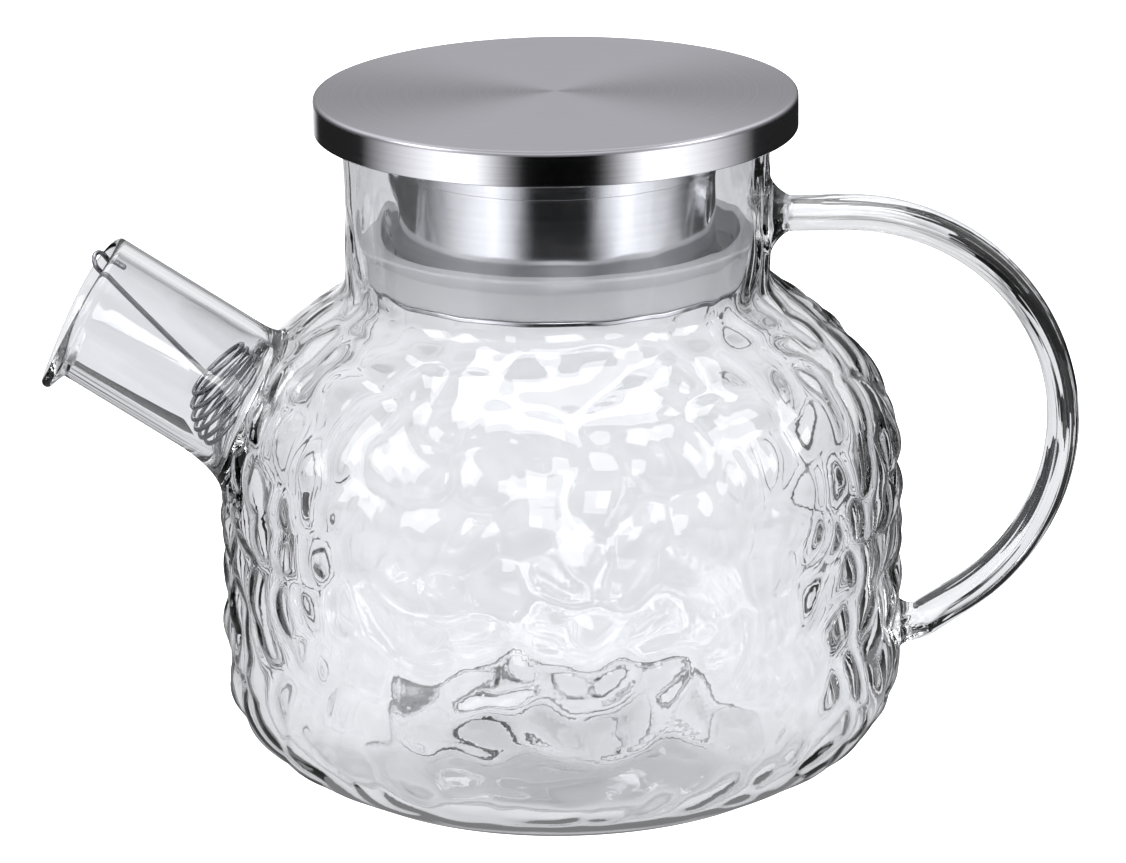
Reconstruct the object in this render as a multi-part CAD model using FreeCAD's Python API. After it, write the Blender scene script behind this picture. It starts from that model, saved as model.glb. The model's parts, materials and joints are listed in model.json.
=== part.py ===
import FreeCAD, Part
import math
import os

# A glass teapot with a steel lid, in millimetres. +Z is up and Z = 0 is the table.
# The pot's axis is Z, the spout points to -X and the handle is on +X.

V = FreeCAD.Vector
UP = V(0, 0, 1)
ACROSS = V(0, 1, 0)
FULL_TURN = 360
QUARTER = 90

# Glass body, turned about Z
GLASS_WALL = 2.7
BODY_R = 68.4
REST_INNER_R = 42.0
REST_OUTER_R = 46.0
FOOT_EDGE_R = 8.0
FOOT_SLOPE = 28.0
BASE_CORNER_R = 20.0
PUNT_HEIGHT = 2.5
PUNT_BEND_R = 6.0
SHOULDER_START_Z = 62.0
SHOULDER_R = 36.0
SHOULDER_SLOPE = 38.0
NECK_R = 42.4
NECK_FILLET_R = 4.0
RIM_Z = 131.7

# Spout, a straight tube that leans up from the shoulder
SPOUT_TILT = 33.7
SPOUT_AXIS_Z = 79.8
SPOUT_LENGTH = 32.3
SPOUT_R = 14.8
SPOUT_WALL = 2.3
SPOUT_FLARE_R = 25.0
SPOUT_FLARE_TURN = 33.0
SPOUT_FLARE_START = 1.1
LIP_FLARE = 4.0
LIP_RUN = 5.0
LIP_SETBACK = 1.9
LIP_LAND = 1.3

# Handle, an oval rod: level run, round bend, then a straight run to the lower weld
HANDLE_TOP_DROP = 18.3
HANDLE_BEND_INSET = 11.0
HANDLE_BEND_R = 43.7
HANDLE_BEND_END = -57.0
HANDLE_DEEP = 6.4
HANDLE_WIDE = 9.4
UPPER_ROOT_LENGTH = 4.25
UPPER_ROOT_FILLET_R = 5.0
LOWER_ROOT_LENGTH = 4.8
LOWER_ROOT_FILLET_R = 2.0
LOWER_ROOT_DROP = 1.0
ROOT_SECTIONS = 5
ROOT_SINK = 6.0

# Lid of sheet steel
LID_SEAT_GAP = 0.3
CAP_OVERHANG = 5.6
CAP_HEIGHT = 6.9
CAP_INNER_BEND_R = 0.4
SHEET = 0.8
PLATE_FIT = 0.05

# Strainer collar under the lid
COLLAR_WALL = 0.6
COLLAR_LENGTH = 30.6
BAND_LENGTH = 6.4
BAND_RISE = 0.5
FLANGE_INSET = 0.4
FLANGE_THICK = 0.9
HOLE_D = 1.6
HOLE_PITCH = 3.5
HOLE_COLUMNS = 5
HOLE_ROWS = 5
LOWEST_HOLES = 7.5

# Silicone seal round the collar
SEAL_FIT = 0.25
SEAL_SEAT_GAP = 0.15
SEAL_SIDE_GAP = 2.4
SEAL_THICK = 5.2
SEAL_HEIGHT = 8.9
SEAL_GROOVE_DEPTH = 4.2
SEAL_SKIN = 1.1
SEAL_LIP_GAP = 0.35
SEAL_LIP_DROP = 3.2
SEAL_LIP_EDGE = 0.6

# Wire strainer in the spout
WIRE_D = 1.0
COIL_TURNS = 6
COIL_PITCH = 1.75
COIL_TOP = 3.5
COIL_SMALL_R = 5.5
COIL_SAG = 1.7
COIL_START = 88.0
COIL_SHEAR = 17.0
COIL_SHEAR_END = 9.0
COIL_TOP_GAP = 2.7
COIL_GAP = 0.4
LEG_GAP = 0.35
LEG_BEND_R = 1.6
LEG_START = 0.8
HAIRPIN_NEAR = 40.0
HAIRPIN_FAR = 21.0
HAIRPIN_RISE = 3.0
HAIRPIN_LEAN = 1.5
HAIRPIN_FOOT = 0.4
HAIRPIN_BEND_R = 1.5
HAIRPIN_ROUND = 0.47
SHORT_LEG = 2.9

# Small numbers of the geometry itself
SAME_POINT = 1e-6
TANGENT_STEP = 1e-4
GAP_SAMPLE = 0.25
GAP_SKIP_WIRES = 4.0

# Sizes that follow from the ones above
SPOUT_BORE_R = SPOUT_R - SPOUT_WALL
LIP_EDGE_R = (SPOUT_WALL - LIP_LAND) / 2
NECK_BORE_R = NECK_R - GLASS_WALL
HANDLE_TOP_Z = RIM_Z - HANDLE_TOP_DROP
CAP_R = NECK_R + CAP_OVERHANG
CAP_EDGE_R = CAP_INNER_BEND_R + SHEET
SEAL_R = NECK_BORE_R - SEAL_SIDE_GAP
COLLAR_R = SEAL_R - SEAL_THICK
FLANGE_R = SEAL_R - FLANGE_INSET
LID_Z = RIM_Z + LID_SEAT_GAP
COLLAR_BOTTOM_Z = LID_Z - COLLAR_LENGTH
SEAL_BOTTOM_Z = COLLAR_BOTTOM_Z + FLANGE_THICK + SEAL_SEAT_GAP
WIRE_R = WIRE_D / 2
COIL_LEAN = SPOUT_BORE_R - WIRE_R - COIL_TOP_GAP - COIL_SMALL_R
COIL_BIG_R = SPOUT_BORE_R - WIRE_R - COIL_GAP - COIL_SAG
LEG_R = SPOUT_BORE_R - WIRE_R - LEG_GAP


def turn_of(degrees):
    """Cosine and sine of an angle in degrees."""
    angle = math.radians(degrees)
    return math.cos(angle), math.sin(angle)


SPOUT_COS, SPOUT_SIN = turn_of(SPOUT_TILT)
SPOUT_DIR = V(-SPOUT_COS, 0, SPOUT_SIN)
SPOUT_UP = V(SPOUT_SIN, 0, SPOUT_COS)
SPOUT_FRONT = -ACROSS
SPOUT_BASE = V(-BODY_R, 0, SPOUT_AXIS_Z)


def in_spout(along, up, front=0.0):
    """A point by its place along the spout's axis, above it and in front of it."""
    return SPOUT_BASE + SPOUT_DIR * along + SPOUT_UP * up + SPOUT_FRONT * front


def around_spout(along, radius, degrees):
    """A point round the spout's axis, its angle counted from the top towards the front."""
    cosine, sine = turn_of(degrees)
    return in_spout(along, radius * cosine, radius * sine)


def line(start, end):
    """A straight edge."""
    return Part.LineSegment(start, end).toShape()


def on_circle(centre, radius, degrees):
    """A point of a circle in the XZ plane, its angle counted from +X towards +Z."""
    cosine, sine = turn_of(degrees)
    return centre + V(radius * cosine, 0, radius * sine)


def arc(centre, radius, first, last):
    """An arc in the XZ plane between two angles."""
    middle = (first + last) / 2
    points = [on_circle(centre, radius, angle) for angle in (first, middle, last)]
    return Part.Arc(*points).toShape()


def chain(start, arcs, end):
    """Straight edges from start to end, joined by the arcs between them."""
    edges = []
    here = start
    for centre, radius, first, last in arcs:
        there = on_circle(centre, radius, first)
        if here.distanceToPoint(there) > SAME_POINT:
            edges.append(line(here, there))
        edges.append(arc(centre, radius, first, last))
        here = on_circle(centre, radius, last)
    edges.append(line(here, end))
    return edges


def polygon(points):
    """The straight edges of a closed outline."""
    return [line(a, b) for a, b in zip(points, points[1:] + points[:1])]


def turned(edges, base=V(), axis=UP):
    """The solid that a closed outline sweeps in one full turn."""
    outline = Part.Wire(Part.__sortEdges__(edges))
    return Part.Face(outline).revolve(base, axis, FULL_TURN)


def rounded_path(points, radii):
    """Edges along straight runs, with each inner corner rounded by its radius."""
    edges = []
    here = points[0]
    for before, corner, after, radius in zip(points, points[1:], points[2:], radii):
        back = (before - corner).normalize()
        onward = (after - corner).normalize()
        half_turn = (math.pi - back.getAngle(onward)) / 2
        reach = radius * math.tan(half_turn)
        middle = (back + onward).normalize() * (radius / math.cos(half_turn) - radius)
        first, last = corner + back * reach, corner + onward * reach
        edges.append(line(here, first))
        edges.append(Part.Arc(first, corner + middle, last).toShape())
        here = last
    edges.append(line(here, points[-1]))
    return edges


def glass_skin(depth, top):
    """Edges of the pot's skin at a depth below its outer face, from the axis to the rim."""
    bend_turn = math.degrees(math.acos(1 - PUNT_HEIGHT / (2 * PUNT_BEND_R)))
    punt_r = REST_INNER_R - 2 * PUNT_BEND_R * math.sin(math.radians(bend_turn))
    foot_cos, foot_sin = turn_of(FOOT_SLOPE)
    corner_x = BODY_R - BASE_CORNER_R
    slope_run = corner_x + BASE_CORNER_R * foot_sin - REST_OUTER_R - FOOT_EDGE_R * foot_sin
    corner_z = FOOT_EDGE_R + (BASE_CORNER_R - FOOT_EDGE_R) * foot_cos + slope_run * foot_sin / foot_cos
    neck_cos, neck_sin = turn_of(SHOULDER_SLOPE)
    shoulder_x = BODY_R - SHOULDER_R
    fillet_x = NECK_R + NECK_FILLET_R
    reach = SHOULDER_R + NECK_FILLET_R
    fillet_z = SHOULDER_START_Z + (reach - (fillet_x - shoulder_x) * neck_sin) / neck_cos
    arcs = [
        (V(punt_r, 0, PUNT_HEIGHT - PUNT_BEND_R), PUNT_BEND_R + depth, QUARTER, QUARTER - bend_turn),
        (V(REST_INNER_R, 0, PUNT_BEND_R), PUNT_BEND_R - depth, -QUARTER - bend_turn, -QUARTER),
        (V(REST_OUTER_R, 0, FOOT_EDGE_R), FOOT_EDGE_R - depth, -QUARTER, FOOT_SLOPE - QUARTER),
        (V(corner_x, 0, corner_z), BASE_CORNER_R - depth, FOOT_SLOPE - QUARTER, 0),
        (V(shoulder_x, 0, SHOULDER_START_Z), SHOULDER_R - depth, 0, QUARTER - SHOULDER_SLOPE),
        (V(fillet_x, 0, fillet_z), NECK_FILLET_R + depth, 3 * QUARTER - SHOULDER_SLOPE, 2 * QUARTER),
    ]
    return chain(V(0, 0, PUNT_HEIGHT + depth), arcs, V(NECK_R - depth, 0, top))


def make_pot_core():
    """The pot's outer form as one full solid, which its neighbours are cut by."""
    axis_top = V(0, 0, RIM_Z)
    edges = glass_skin(0, RIM_Z)
    edges.append(line(V(NECK_R, 0, RIM_Z), axis_top))
    edges.append(line(axis_top, V(0, 0, PUNT_HEIGHT)))
    return turned(edges)


def make_spout_bore():
    """The round way through the spout and the pot's wall, up to where the lip starts."""
    length = SPOUT_LENGTH - LIP_RUN + SPOUT_R
    return Part.makeCylinder(SPOUT_BORE_R, length, in_spout(-SPOUT_R, 0), SPOUT_DIR)


def make_pot_body():
    """The blown body, with a fire-rounded rim and the hole behind the spout."""
    rim_r = GLASS_WALL / 2
    edges = glass_skin(0, RIM_Z - rim_r) + glass_skin(GLASS_WALL, RIM_Z - rim_r)
    edges.append(arc(V(NECK_R - rim_r, 0, RIM_Z - rim_r), rim_r, 0, 2 * QUARTER))
    edges.append(line(V(0, 0, PUNT_HEIGHT), V(0, 0, PUNT_HEIGHT + GLASS_WALL)))
    return turned(edges).cut(make_spout_bore())


def lip_cone(radius):
    """The slanting cone that a circle of the tube makes as it widens down to the pouring lip."""
    half_flare = LIP_FLARE / 2
    root = Part.makeCircle(radius, in_spout(SPOUT_LENGTH - LIP_RUN, 0), SPOUT_DIR)
    mouth_centre = in_spout(SPOUT_LENGTH - LIP_SETBACK / 2, -half_flare)
    mouth_way = SPOUT_DIR * (2 * SPOUT_R + LIP_FLARE) - SPOUT_UP * LIP_SETBACK
    mouth = Part.makeCircle(radius + half_flare, mouth_centre, mouth_way)
    return Part.makeLoft([Part.Wire(root), Part.Wire(mouth)], True, True)


def make_spout(pot_core):
    """The spout: a tube with a widening weld at its root and a lip turned down at its mouth."""
    cosine, sine = turn_of(SPOUT_FLARE_TURN)
    root = SPOUT_FLARE_START - SPOUT_FLARE_R * sine
    root_r = SPOUT_R + SPOUT_FLARE_R * (1 - cosine)
    half_cos, half_sin = turn_of(SPOUT_FLARE_TURN / 2)
    flare = Part.Arc(
        in_spout(root, root_r),
        in_spout(SPOUT_FLARE_START - SPOUT_FLARE_R * half_sin, SPOUT_R + SPOUT_FLARE_R * (1 - half_cos)),
        in_spout(SPOUT_FLARE_START, SPOUT_R),
    ).toShape()
    lip_start = SPOUT_LENGTH - LIP_RUN
    edges = [
        line(in_spout(lip_start, 0), in_spout(root, 0)),
        line(in_spout(root, 0), in_spout(root, root_r)),
        flare,
        line(in_spout(SPOUT_FLARE_START, SPOUT_R), in_spout(lip_start, SPOUT_R)),
        line(in_spout(lip_start, SPOUT_R), in_spout(lip_start, 0)),
    ]
    stem = turned(edges, SPOUT_BASE, SPOUT_DIR).fuse(lip_cone(SPOUT_R))
    tube = stem.cut(make_spout_bore().fuse(lip_cone(SPOUT_BORE_R))).cut(pot_core).removeSplitter()
    mouth = max(tube.Faces, key=lambda face: (face.CenterOfMass - SPOUT_BASE).dot(SPOUT_DIR))
    return tube.makeFillet(LIP_EDGE_R, mouth.Edges)


def oval(centre, axis, wide, deep):
    """A closed oval square to an axis in the XZ plane, wide along Y."""
    long_way, short_way = ACROSS, axis.cross(ACROSS)
    if deep > wide:
        long_way, short_way = short_way, long_way
    ends = centre + long_way * max(wide, deep), centre + short_way * min(wide, deep)
    return Part.Wire(Part.Ellipse(*ends, centre).toShape())


def handle_bend():
    """The centre of the rod's round bend."""
    return V(BODY_R - HANDLE_BEND_INSET, 0, HANDLE_TOP_Z - HANDLE_BEND_R)


def handle_ends():
    """Where the rod ends, and which way it points there: the upper end, then the lower."""
    upper = V(NECK_R + UPPER_ROOT_LENGTH, 0, HANDLE_TOP_Z)
    bend_end = on_circle(handle_bend(), HANDLE_BEND_R, HANDLE_BEND_END)
    lower_way = on_circle(V(), 1, HANDLE_BEND_END - QUARTER)
    lower_run = (BODY_R + LOWER_ROOT_LENGTH - bend_end.x) / lower_way.x
    return (upper, V(-1, 0, 0)), (bend_end + lower_way * lower_run, lower_way)


def make_handle():
    """The oval rod between its two welds."""
    (upper, upper_way), (lower, _) = handle_ends()
    route = chain(upper, [(handle_bend(), HANDLE_BEND_R, QUARTER, HANDLE_BEND_END)], lower)
    section = oval(upper, upper_way, HANDLE_WIDE / 2, HANDLE_DEEP / 2)
    return Part.Wire(route).makePipeShell([section], True, False)


def make_root(rod_end, wall_x, drop, fillet_r, pot_core):
    """A weld that turns level and widens from the rod's oval end onto the pot, cut to the pot's face."""
    end, way = rod_end
    half_wide, half_deep = HANDLE_WIDE / 2, HANDLE_DEEP / 2
    level = V(-1, 0, 0)
    rod_x = end.x - abs(way.cross(ACROSS).x) * half_deep - SAME_POINT
    sections = [oval(end, way, half_wide, half_deep)]
    for step in range(1, ROOT_SECTIONS + 1):
        cosine, sine = turn_of(QUARTER * step / ROOT_SECTIONS)
        spread = fillet_r * (1 - cosine)
        centre = V(wall_x + fillet_r * (1 - sine), 0, end.z - drop)
        if centre.x < rod_x:
            sections.append(oval(centre, level, half_wide + spread, half_deep + spread))
    sunk = V(wall_x - ROOT_SINK, 0, end.z - drop)
    sections.append(oval(sunk, level, half_wide + fillet_r, half_deep + fillet_r))
    return Part.makeLoft(sections, True, True).cut(pot_core)


def make_lid_cap():
    """The drawn cap: a flat top with a rounded edge and a straight skirt."""
    top = LID_Z + CAP_HEIGHT
    edge_centre = V(CAP_R - CAP_EDGE_R, 0, top - CAP_EDGE_R)
    outer = chain(V(0, 0, top), [(edge_centre, CAP_EDGE_R, QUARTER, 0)], V(CAP_R, 0, LID_Z))
    inner_edge = (edge_centre, CAP_EDGE_R - SHEET, QUARTER, 0)
    inner = chain(V(0, 0, top - SHEET), [inner_edge], V(CAP_R - SHEET, 0, LID_Z))
    ends = [
        line(V(CAP_R, 0, LID_Z), V(CAP_R - SHEET, 0, LID_Z)),
        line(V(0, 0, top), V(0, 0, top - SHEET)),
    ]
    return turned(outer + inner + ends)


def make_lid_base_plate():
    """The disc that closes the cap from below."""
    return Part.makeCylinder(CAP_R - SHEET - PLATE_FIT, SHEET, V(0, 0, LID_Z))


def make_strainer_collar():
    """The tube under the lid, with its top band, bottom flange and drilled patch facing the spout."""
    inner_r = COLLAR_R - COLLAR_WALL
    band_z = LID_Z - BAND_LENGTH
    flange_z = COLLAR_BOTTOM_Z + FLANGE_THICK
    tube = turned(polygon([
        V(inner_r, 0, COLLAR_BOTTOM_Z),
        V(FLANGE_R, 0, COLLAR_BOTTOM_Z),
        V(FLANGE_R, 0, flange_z),
        V(COLLAR_R, 0, flange_z),
        V(COLLAR_R, 0, band_z),
        V(COLLAR_R + BAND_RISE, 0, band_z),
        V(COLLAR_R + BAND_RISE, 0, LID_Z),
        V(inner_r, 0, LID_Z),
    ]))
    return tube.cut(Part.Compound(collar_drills()))


def collar_drills():
    """One drill for each hole of the patch, every other row shifted by half a pitch."""
    drills = []
    for row in range(HOLE_ROWS):
        height = COLLAR_BOTTOM_Z + LOWEST_HOLES + row * HOLE_PITCH
        columns = HOLE_COLUMNS - row % 2
        for column in range(columns):
            sideways = (column - (columns - 1) / 2) * HOLE_PITCH
            cosine, sine = turn_of(math.degrees(sideways / COLLAR_R))
            drills.append(Part.makeCylinder(HOLE_D / 2, FLANGE_R, V(0, 0, height), V(-cosine, sine, 0)))
    return drills


def make_seal_ring():
    """The silicone ring: a block round the collar, a groove on top and a thin lip towards the neck."""
    inner_r = COLLAR_R + SEAL_FIT
    top = SEAL_BOTTOM_Z + SEAL_HEIGHT
    groove_z = top - SEAL_GROOVE_DEPTH
    lip_r = NECK_BORE_R - SEAL_LIP_GAP
    return turned(polygon([
        V(inner_r, 0, SEAL_BOTTOM_Z),
        V(SEAL_R, 0, SEAL_BOTTOM_Z),
        V(SEAL_R, 0, top - SEAL_LIP_DROP),
        V(lip_r, 0, top - SEAL_LIP_EDGE),
        V(lip_r, 0, top),
        V(SEAL_R - SEAL_SKIN, 0, top),
        V(SEAL_R - SEAL_SKIN, 0, groove_z),
        V(inner_r, 0, groove_z),
    ]))


def coil_point(share):
    """A point of the coil's centre line: share 0 is its small outer end and 1 its wide inner end."""
    swell = 1 - (1 - share) ** 2
    radius = COIL_SMALL_R + (COIL_BIG_R - COIL_SMALL_R) * swell
    cosine, sine = turn_of(COIL_START - FULL_TURN * COIL_TURNS * share)
    up = COIL_LEAN - (COIL_LEAN + COIL_SAG) * swell + radius * cosine
    shear = math.radians(COIL_SHEAR + (COIL_SHEAR_END - COIL_SHEAR) * share)
    along = COIL_TOP - COIL_TURNS * COIL_PITCH * share - up * math.tan(shear)
    return in_spout(along, up, radius * sine)


def coil_way(share):
    """The wire's direction at that share, towards the coil's small end."""
    return (coil_point(share - TANGENT_STEP) - coil_point(share + TANGENT_STEP)).normalize()


def tangent_arc(start, apex, end):
    """The arc from start to end whose end tangents meet at apex."""
    base = (start + end) / 2
    half_chord = start.distanceToPoint(end) / 2
    lean = math.acos(half_chord / start.distanceToPoint(apex))
    share = math.tan(lean / 2) / math.tan(lean)
    return Part.Arc(start, base + (apex - base) * share, end).toShape()


def biarc(start, start_way, end, end_way):
    """Two arcs that leave start and reach end along the given directions."""
    span = end - start
    both = start_way + end_way
    spread = 2 * (1 - start_way.dot(end_way))
    along = span.dot(both)
    reach = (math.sqrt(along * along + spread * span.dot(span)) - along) / spread
    first_apex, last_apex = start + start_way * reach, end - end_way * reach
    joint = (first_apex + last_apex) / 2
    return [tangent_arc(start, first_apex, joint), tangent_arc(joint, last_apex, end)]


def strainer_route():
    """Edges of the wire's centre line, from the coil's wide end to the hairpin's short leg."""
    quarters = 4 * COIL_TURNS
    shares = [1 - step / quarters for step in range(quarters + 1)]
    edges = []
    for share, following in zip(shares, shares[1:]):
        edges += biarc(coil_point(share), coil_way(share), coil_point(following), coil_way(following))
    foot, peak = SPOUT_LENGTH - HAIRPIN_FOOT, SPOUT_LENGTH + HAIRPIN_RISE
    peak_r = LEG_R + HAIRPIN_LEAN
    crown = [around_spout(peak, peak_r, angle) for angle in (HAIRPIN_NEAR, HAIRPIN_FAR)]
    crown_r = crown[0].distanceToPoint(crown[1]) * HAIRPIN_ROUND
    points = [
        coil_point(0),
        coil_point(0) + coil_way(0) * (LEG_BEND_R + LEG_START),
        around_spout(foot, LEG_R, HAIRPIN_NEAR),
        *crown,
        around_spout(foot, LEG_R, HAIRPIN_FAR),
        around_spout(foot - SHORT_LEG, LEG_R, HAIRPIN_FAR),
    ]
    return edges + rounded_path(points, [LEG_BEND_R, HAIRPIN_BEND_R, crown_r, crown_r, HAIRPIN_BEND_R])


def least_gap(route):
    """The least clear gap between stretches of wire that are not neighbours along it."""
    points, places, place = [], [], 0.0
    for edge in route:
        count = max(2, math.ceil(edge.Length / GAP_SAMPLE) + 1)
        points += edge.discretize(count)
        places += [place + edge.Length * step / (count - 1) for step in range(count)]
        place += edge.Length
    skip = GAP_SKIP_WIRES * WIRE_D
    gaps = [
        points[i].distanceToPoint(points[j])
        for i in range(len(points))
        for j in range(i)
        if places[i] - places[j] > skip
    ]
    return min(gaps) - WIRE_D


def make_spout_strainer():
    """One wire: conical coil, long leg and hairpin over the mouth's rim."""
    route = strainer_route()
    section = Part.Wire(Part.makeCircle(WIRE_R, coil_point(1), coil_way(1)))
    wire = Part.Wire(route).makePipeShell([section], True, False)
    length = sum(edge.Length for edge in route)
    print(f"strainer wire: {length:.1f} mm long, least gap to itself {least_gap(route):.2f} mm")
    print(f"strainer volume {wire.Volume:.1f}, section times length {math.pi * WIRE_R ** 2 * length:.1f}")
    return wire


def make_all():
    """Every piece of the teapot, by its name."""
    pot_core = make_pot_core()
    upper_end, lower_end = handle_ends()
    return {
        "pot_body": make_pot_body(),
        "spout": make_spout(pot_core),
        "handle": make_handle(),
        "handle_upper_root": make_root(upper_end, NECK_R, 0, UPPER_ROOT_FILLET_R, pot_core),
        "handle_lower_root": make_root(lower_end, BODY_R, LOWER_ROOT_DROP, LOWER_ROOT_FILLET_R, pot_core),
        "lid_cap": make_lid_cap(),
        "lid_base_plate": make_lid_base_plate(),
        "strainer_collar": make_strainer_collar(),
        "seal_ring": make_seal_ring(),
        "spout_strainer": make_spout_strainer(),
    }


os.makedirs("parts", exist_ok=True)
for name, shape in make_all().items():
    box = shape.BoundBox
    print(f"{name}: {len(shape.Solids)} solid, valid {shape.isValid()}, volume {shape.Volume:.0f},"
          f" x {box.XMin:.1f} to {box.XMax:.1f}, z {box.ZMin:.1f} to {box.ZMax:.1f}")
    shape.exportStep(f"parts/{name}.step")
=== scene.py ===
"""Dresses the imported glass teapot: hammered glass, a steel lid, a silicone seal and a wire strainer.

Sizes are in millimetres unless a comment says metres, and go to Blender in metres. The frame is the
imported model's own: +Z up, the spout towards -X, the handle towards +X and the table at Z = 0.
"""

import json
import logging
import math
from collections.abc import Sequence
from dataclasses import dataclass, field
from enum import Enum, IntEnum

import bpy
import numpy as np
from bpy.types import Material, Mesh, Node, NodeSocket, NodeTree, Object
from mathutils import Matrix

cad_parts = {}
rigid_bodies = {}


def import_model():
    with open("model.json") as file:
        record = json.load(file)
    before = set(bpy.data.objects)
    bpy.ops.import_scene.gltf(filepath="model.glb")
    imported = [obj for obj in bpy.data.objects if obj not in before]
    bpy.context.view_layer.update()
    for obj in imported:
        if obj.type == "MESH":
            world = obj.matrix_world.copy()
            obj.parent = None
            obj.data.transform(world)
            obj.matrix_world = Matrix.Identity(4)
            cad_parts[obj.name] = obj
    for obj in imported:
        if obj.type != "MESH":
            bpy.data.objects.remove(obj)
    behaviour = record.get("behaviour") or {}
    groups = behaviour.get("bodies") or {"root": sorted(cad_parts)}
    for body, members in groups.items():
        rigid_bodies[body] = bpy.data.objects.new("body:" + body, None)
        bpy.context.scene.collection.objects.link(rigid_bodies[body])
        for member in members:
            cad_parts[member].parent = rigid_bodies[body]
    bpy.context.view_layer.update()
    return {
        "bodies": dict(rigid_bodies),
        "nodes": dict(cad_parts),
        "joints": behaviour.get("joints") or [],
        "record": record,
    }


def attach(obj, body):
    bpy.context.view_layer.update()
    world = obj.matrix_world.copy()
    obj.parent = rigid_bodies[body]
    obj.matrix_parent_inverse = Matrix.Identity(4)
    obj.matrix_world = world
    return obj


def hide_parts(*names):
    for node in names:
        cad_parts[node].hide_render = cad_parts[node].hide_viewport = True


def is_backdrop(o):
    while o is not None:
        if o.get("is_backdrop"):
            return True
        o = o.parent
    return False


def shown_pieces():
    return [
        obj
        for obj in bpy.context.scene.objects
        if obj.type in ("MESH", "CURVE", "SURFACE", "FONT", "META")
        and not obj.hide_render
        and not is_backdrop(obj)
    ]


LOG = logging.getLogger("teapot")
Array = np.ndarray
Place = tuple[Array, Array]

MM = 0.001
TURN = 2 * math.pi

# Points in one cell of this size are one point; the offset keeps round sizes off the cells' edges.
JOIN = 1e-4
JOIN_OFFSET = 0.137
LEAST_SIDES = 3
FACES_AT_EDGE = 2
SHARP_ANGLE = math.radians(50)

# How finely lines, arcs, rounded corners and fused seams are divided.
FINE_STEP = 0.05
ARC_STEPS = 90
CORNER_STEPS = 6
FILLET_POINTS = 24
SEAM_STEPS = 3

# How far out the points beyond a rounding lie, in its own reach, and how often a search halves its span.
HOLD = 1.25
HALVINGS = 48

# The sRGB curve: a straight run up to the knee, then a power of the lifted share.
BYTE = 255
KNEE = 0.04045
SLOPE = 12.92
LIFT = 0.055
POWER = 2.4

# A ray goes through two faces of one wall; the slack picks that whole number out.
WALL_CROSSINGS = 2.0
COUNT_SLACK = 0.5

# The inputs of a range of values; the inputs of a mix for numbers and for colours, and its colour output.
FROM = ("From Min", "From Max")
TO = ("To Min", "To Max")
NUMBER_A, NUMBER_B = 2, 3
COLOUR_A, COLOUR_B = 6, 7
COLOUR = 2

# What the names of all pieces of glass start with.
GLASS = "glass_"

# The way to the back, and one tipped a little off it, so that no lamp faces exactly along it.
LEVEL = np.array([0.0, 1.0, 0.0])
NEARLY_LEVEL = np.array([0.0, 1.0, 0.001])


class Zone(IntEnum):
    """Which of a piece's two finishes a face takes."""

    MAIN = 0
    SECOND = 1


def smooth(share: Array) -> Array:
    """Three times the square of a share less twice its cube, with the share held from 0 to 1."""
    held = np.clip(share, 0.0, 1.0)
    return held * held * (3.0 - 2.0 * held)


def unit(vectors: Array) -> Array:
    """Each vector divided by its own length."""
    return vectors / np.linalg.norm(vectors, axis=-1, keepdims=True)


def running_length(points: Array) -> Array:
    """The length along a line of points, up to each of them."""
    steps = np.linalg.norm(np.diff(points, axis=0), axis=1)
    return np.concatenate([[0.0], np.cumsum(steps)])


def evenly(points: Array, step: float) -> Array:
    """Spreads points evenly over a line: each coordinate is interpolated by running length.

    Args:
        points: The line's own points, one per row.
        step: The wanted distance between the new points.

    Returns:
        The new points, one per row, with both ends kept.
    """
    length = running_length(points)
    count = max(2, round(length[-1] / step) + 1)
    places = np.linspace(0.0, length[-1], count)
    return np.stack([np.interp(places, length, column) for column in points.T], axis=1)


def arc(centre: Sequence[float], radius: float, first: float, last: float) -> Array:
    """Points of a circle, centre + radius (cos, sin), between two angles in degrees."""
    angle = np.radians(np.linspace(first, last, ARC_STEPS + 1))
    return np.asarray(centre) + radius * np.stack([np.cos(angle), np.sin(angle)], axis=1)


def rounded(corners: Sequence[Sequence[float]], radii: Sequence[float], closed: bool) -> Array:
    """Rounds the corners of a line of straight runs.

    Corner C becomes (1-t)^2 A + 2t(1-t) C + t^2 B, where A and B lie one radius before and after it.
    One more point beyond each of A and B keeps the straight runs straight when they are shaded.

    Args:
        corners: The corners in order, one per row.
        radii: The reach of each corner's rounding; 0 keeps it sharp.
        closed: True if the last corner leads back to the first; otherwise the two ends stay as they are.

    Returns:
        The points of the rounded line.
    """
    at = np.asarray(corners, float)
    reach = np.asarray(radii, float)[:, None, None]
    back = unit(np.roll(at, 1, axis=0) - at)[:, None]
    onward = unit(np.roll(at, -1, axis=0) - at)[:, None]
    t = np.linspace(0.0, 1.0, CORNER_STEPS + 1)[None, :, None]
    bend = at[:, None] + reach * ((1 - t) ** 2 * back + t ** 2 * onward)
    before, after = (at[:, None] + HOLD * reach * way for way in (back, onward))
    line = np.concatenate([before, bend, after], axis=1)
    if closed:
        return line.reshape(-1, at.shape[1])
    return np.concatenate([at[:1], line[1:-1].reshape(-1, at.shape[1]), at[-1:]])


def about_axis(radius: Array, angle: Array, height: Array) -> Array:
    """Points or directions round Z: x = radius cos, y = radius sin and z = height."""
    x, y = radius * np.cos(angle), radius * np.sin(angle)
    return np.stack([x, y, np.broadcast_to(height, x.shape)], axis=-1)


def turned(outline: Array, angles: Array) -> Array:
    """An outline of (r, z) points turned about Z, by point and angle."""
    return about_axis(outline[:, :1], angles, outline[:, 1:])


def round_angles(count: int) -> Array:
    """Even angles of one full turn."""
    return np.arange(count) * TURN / count


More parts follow.
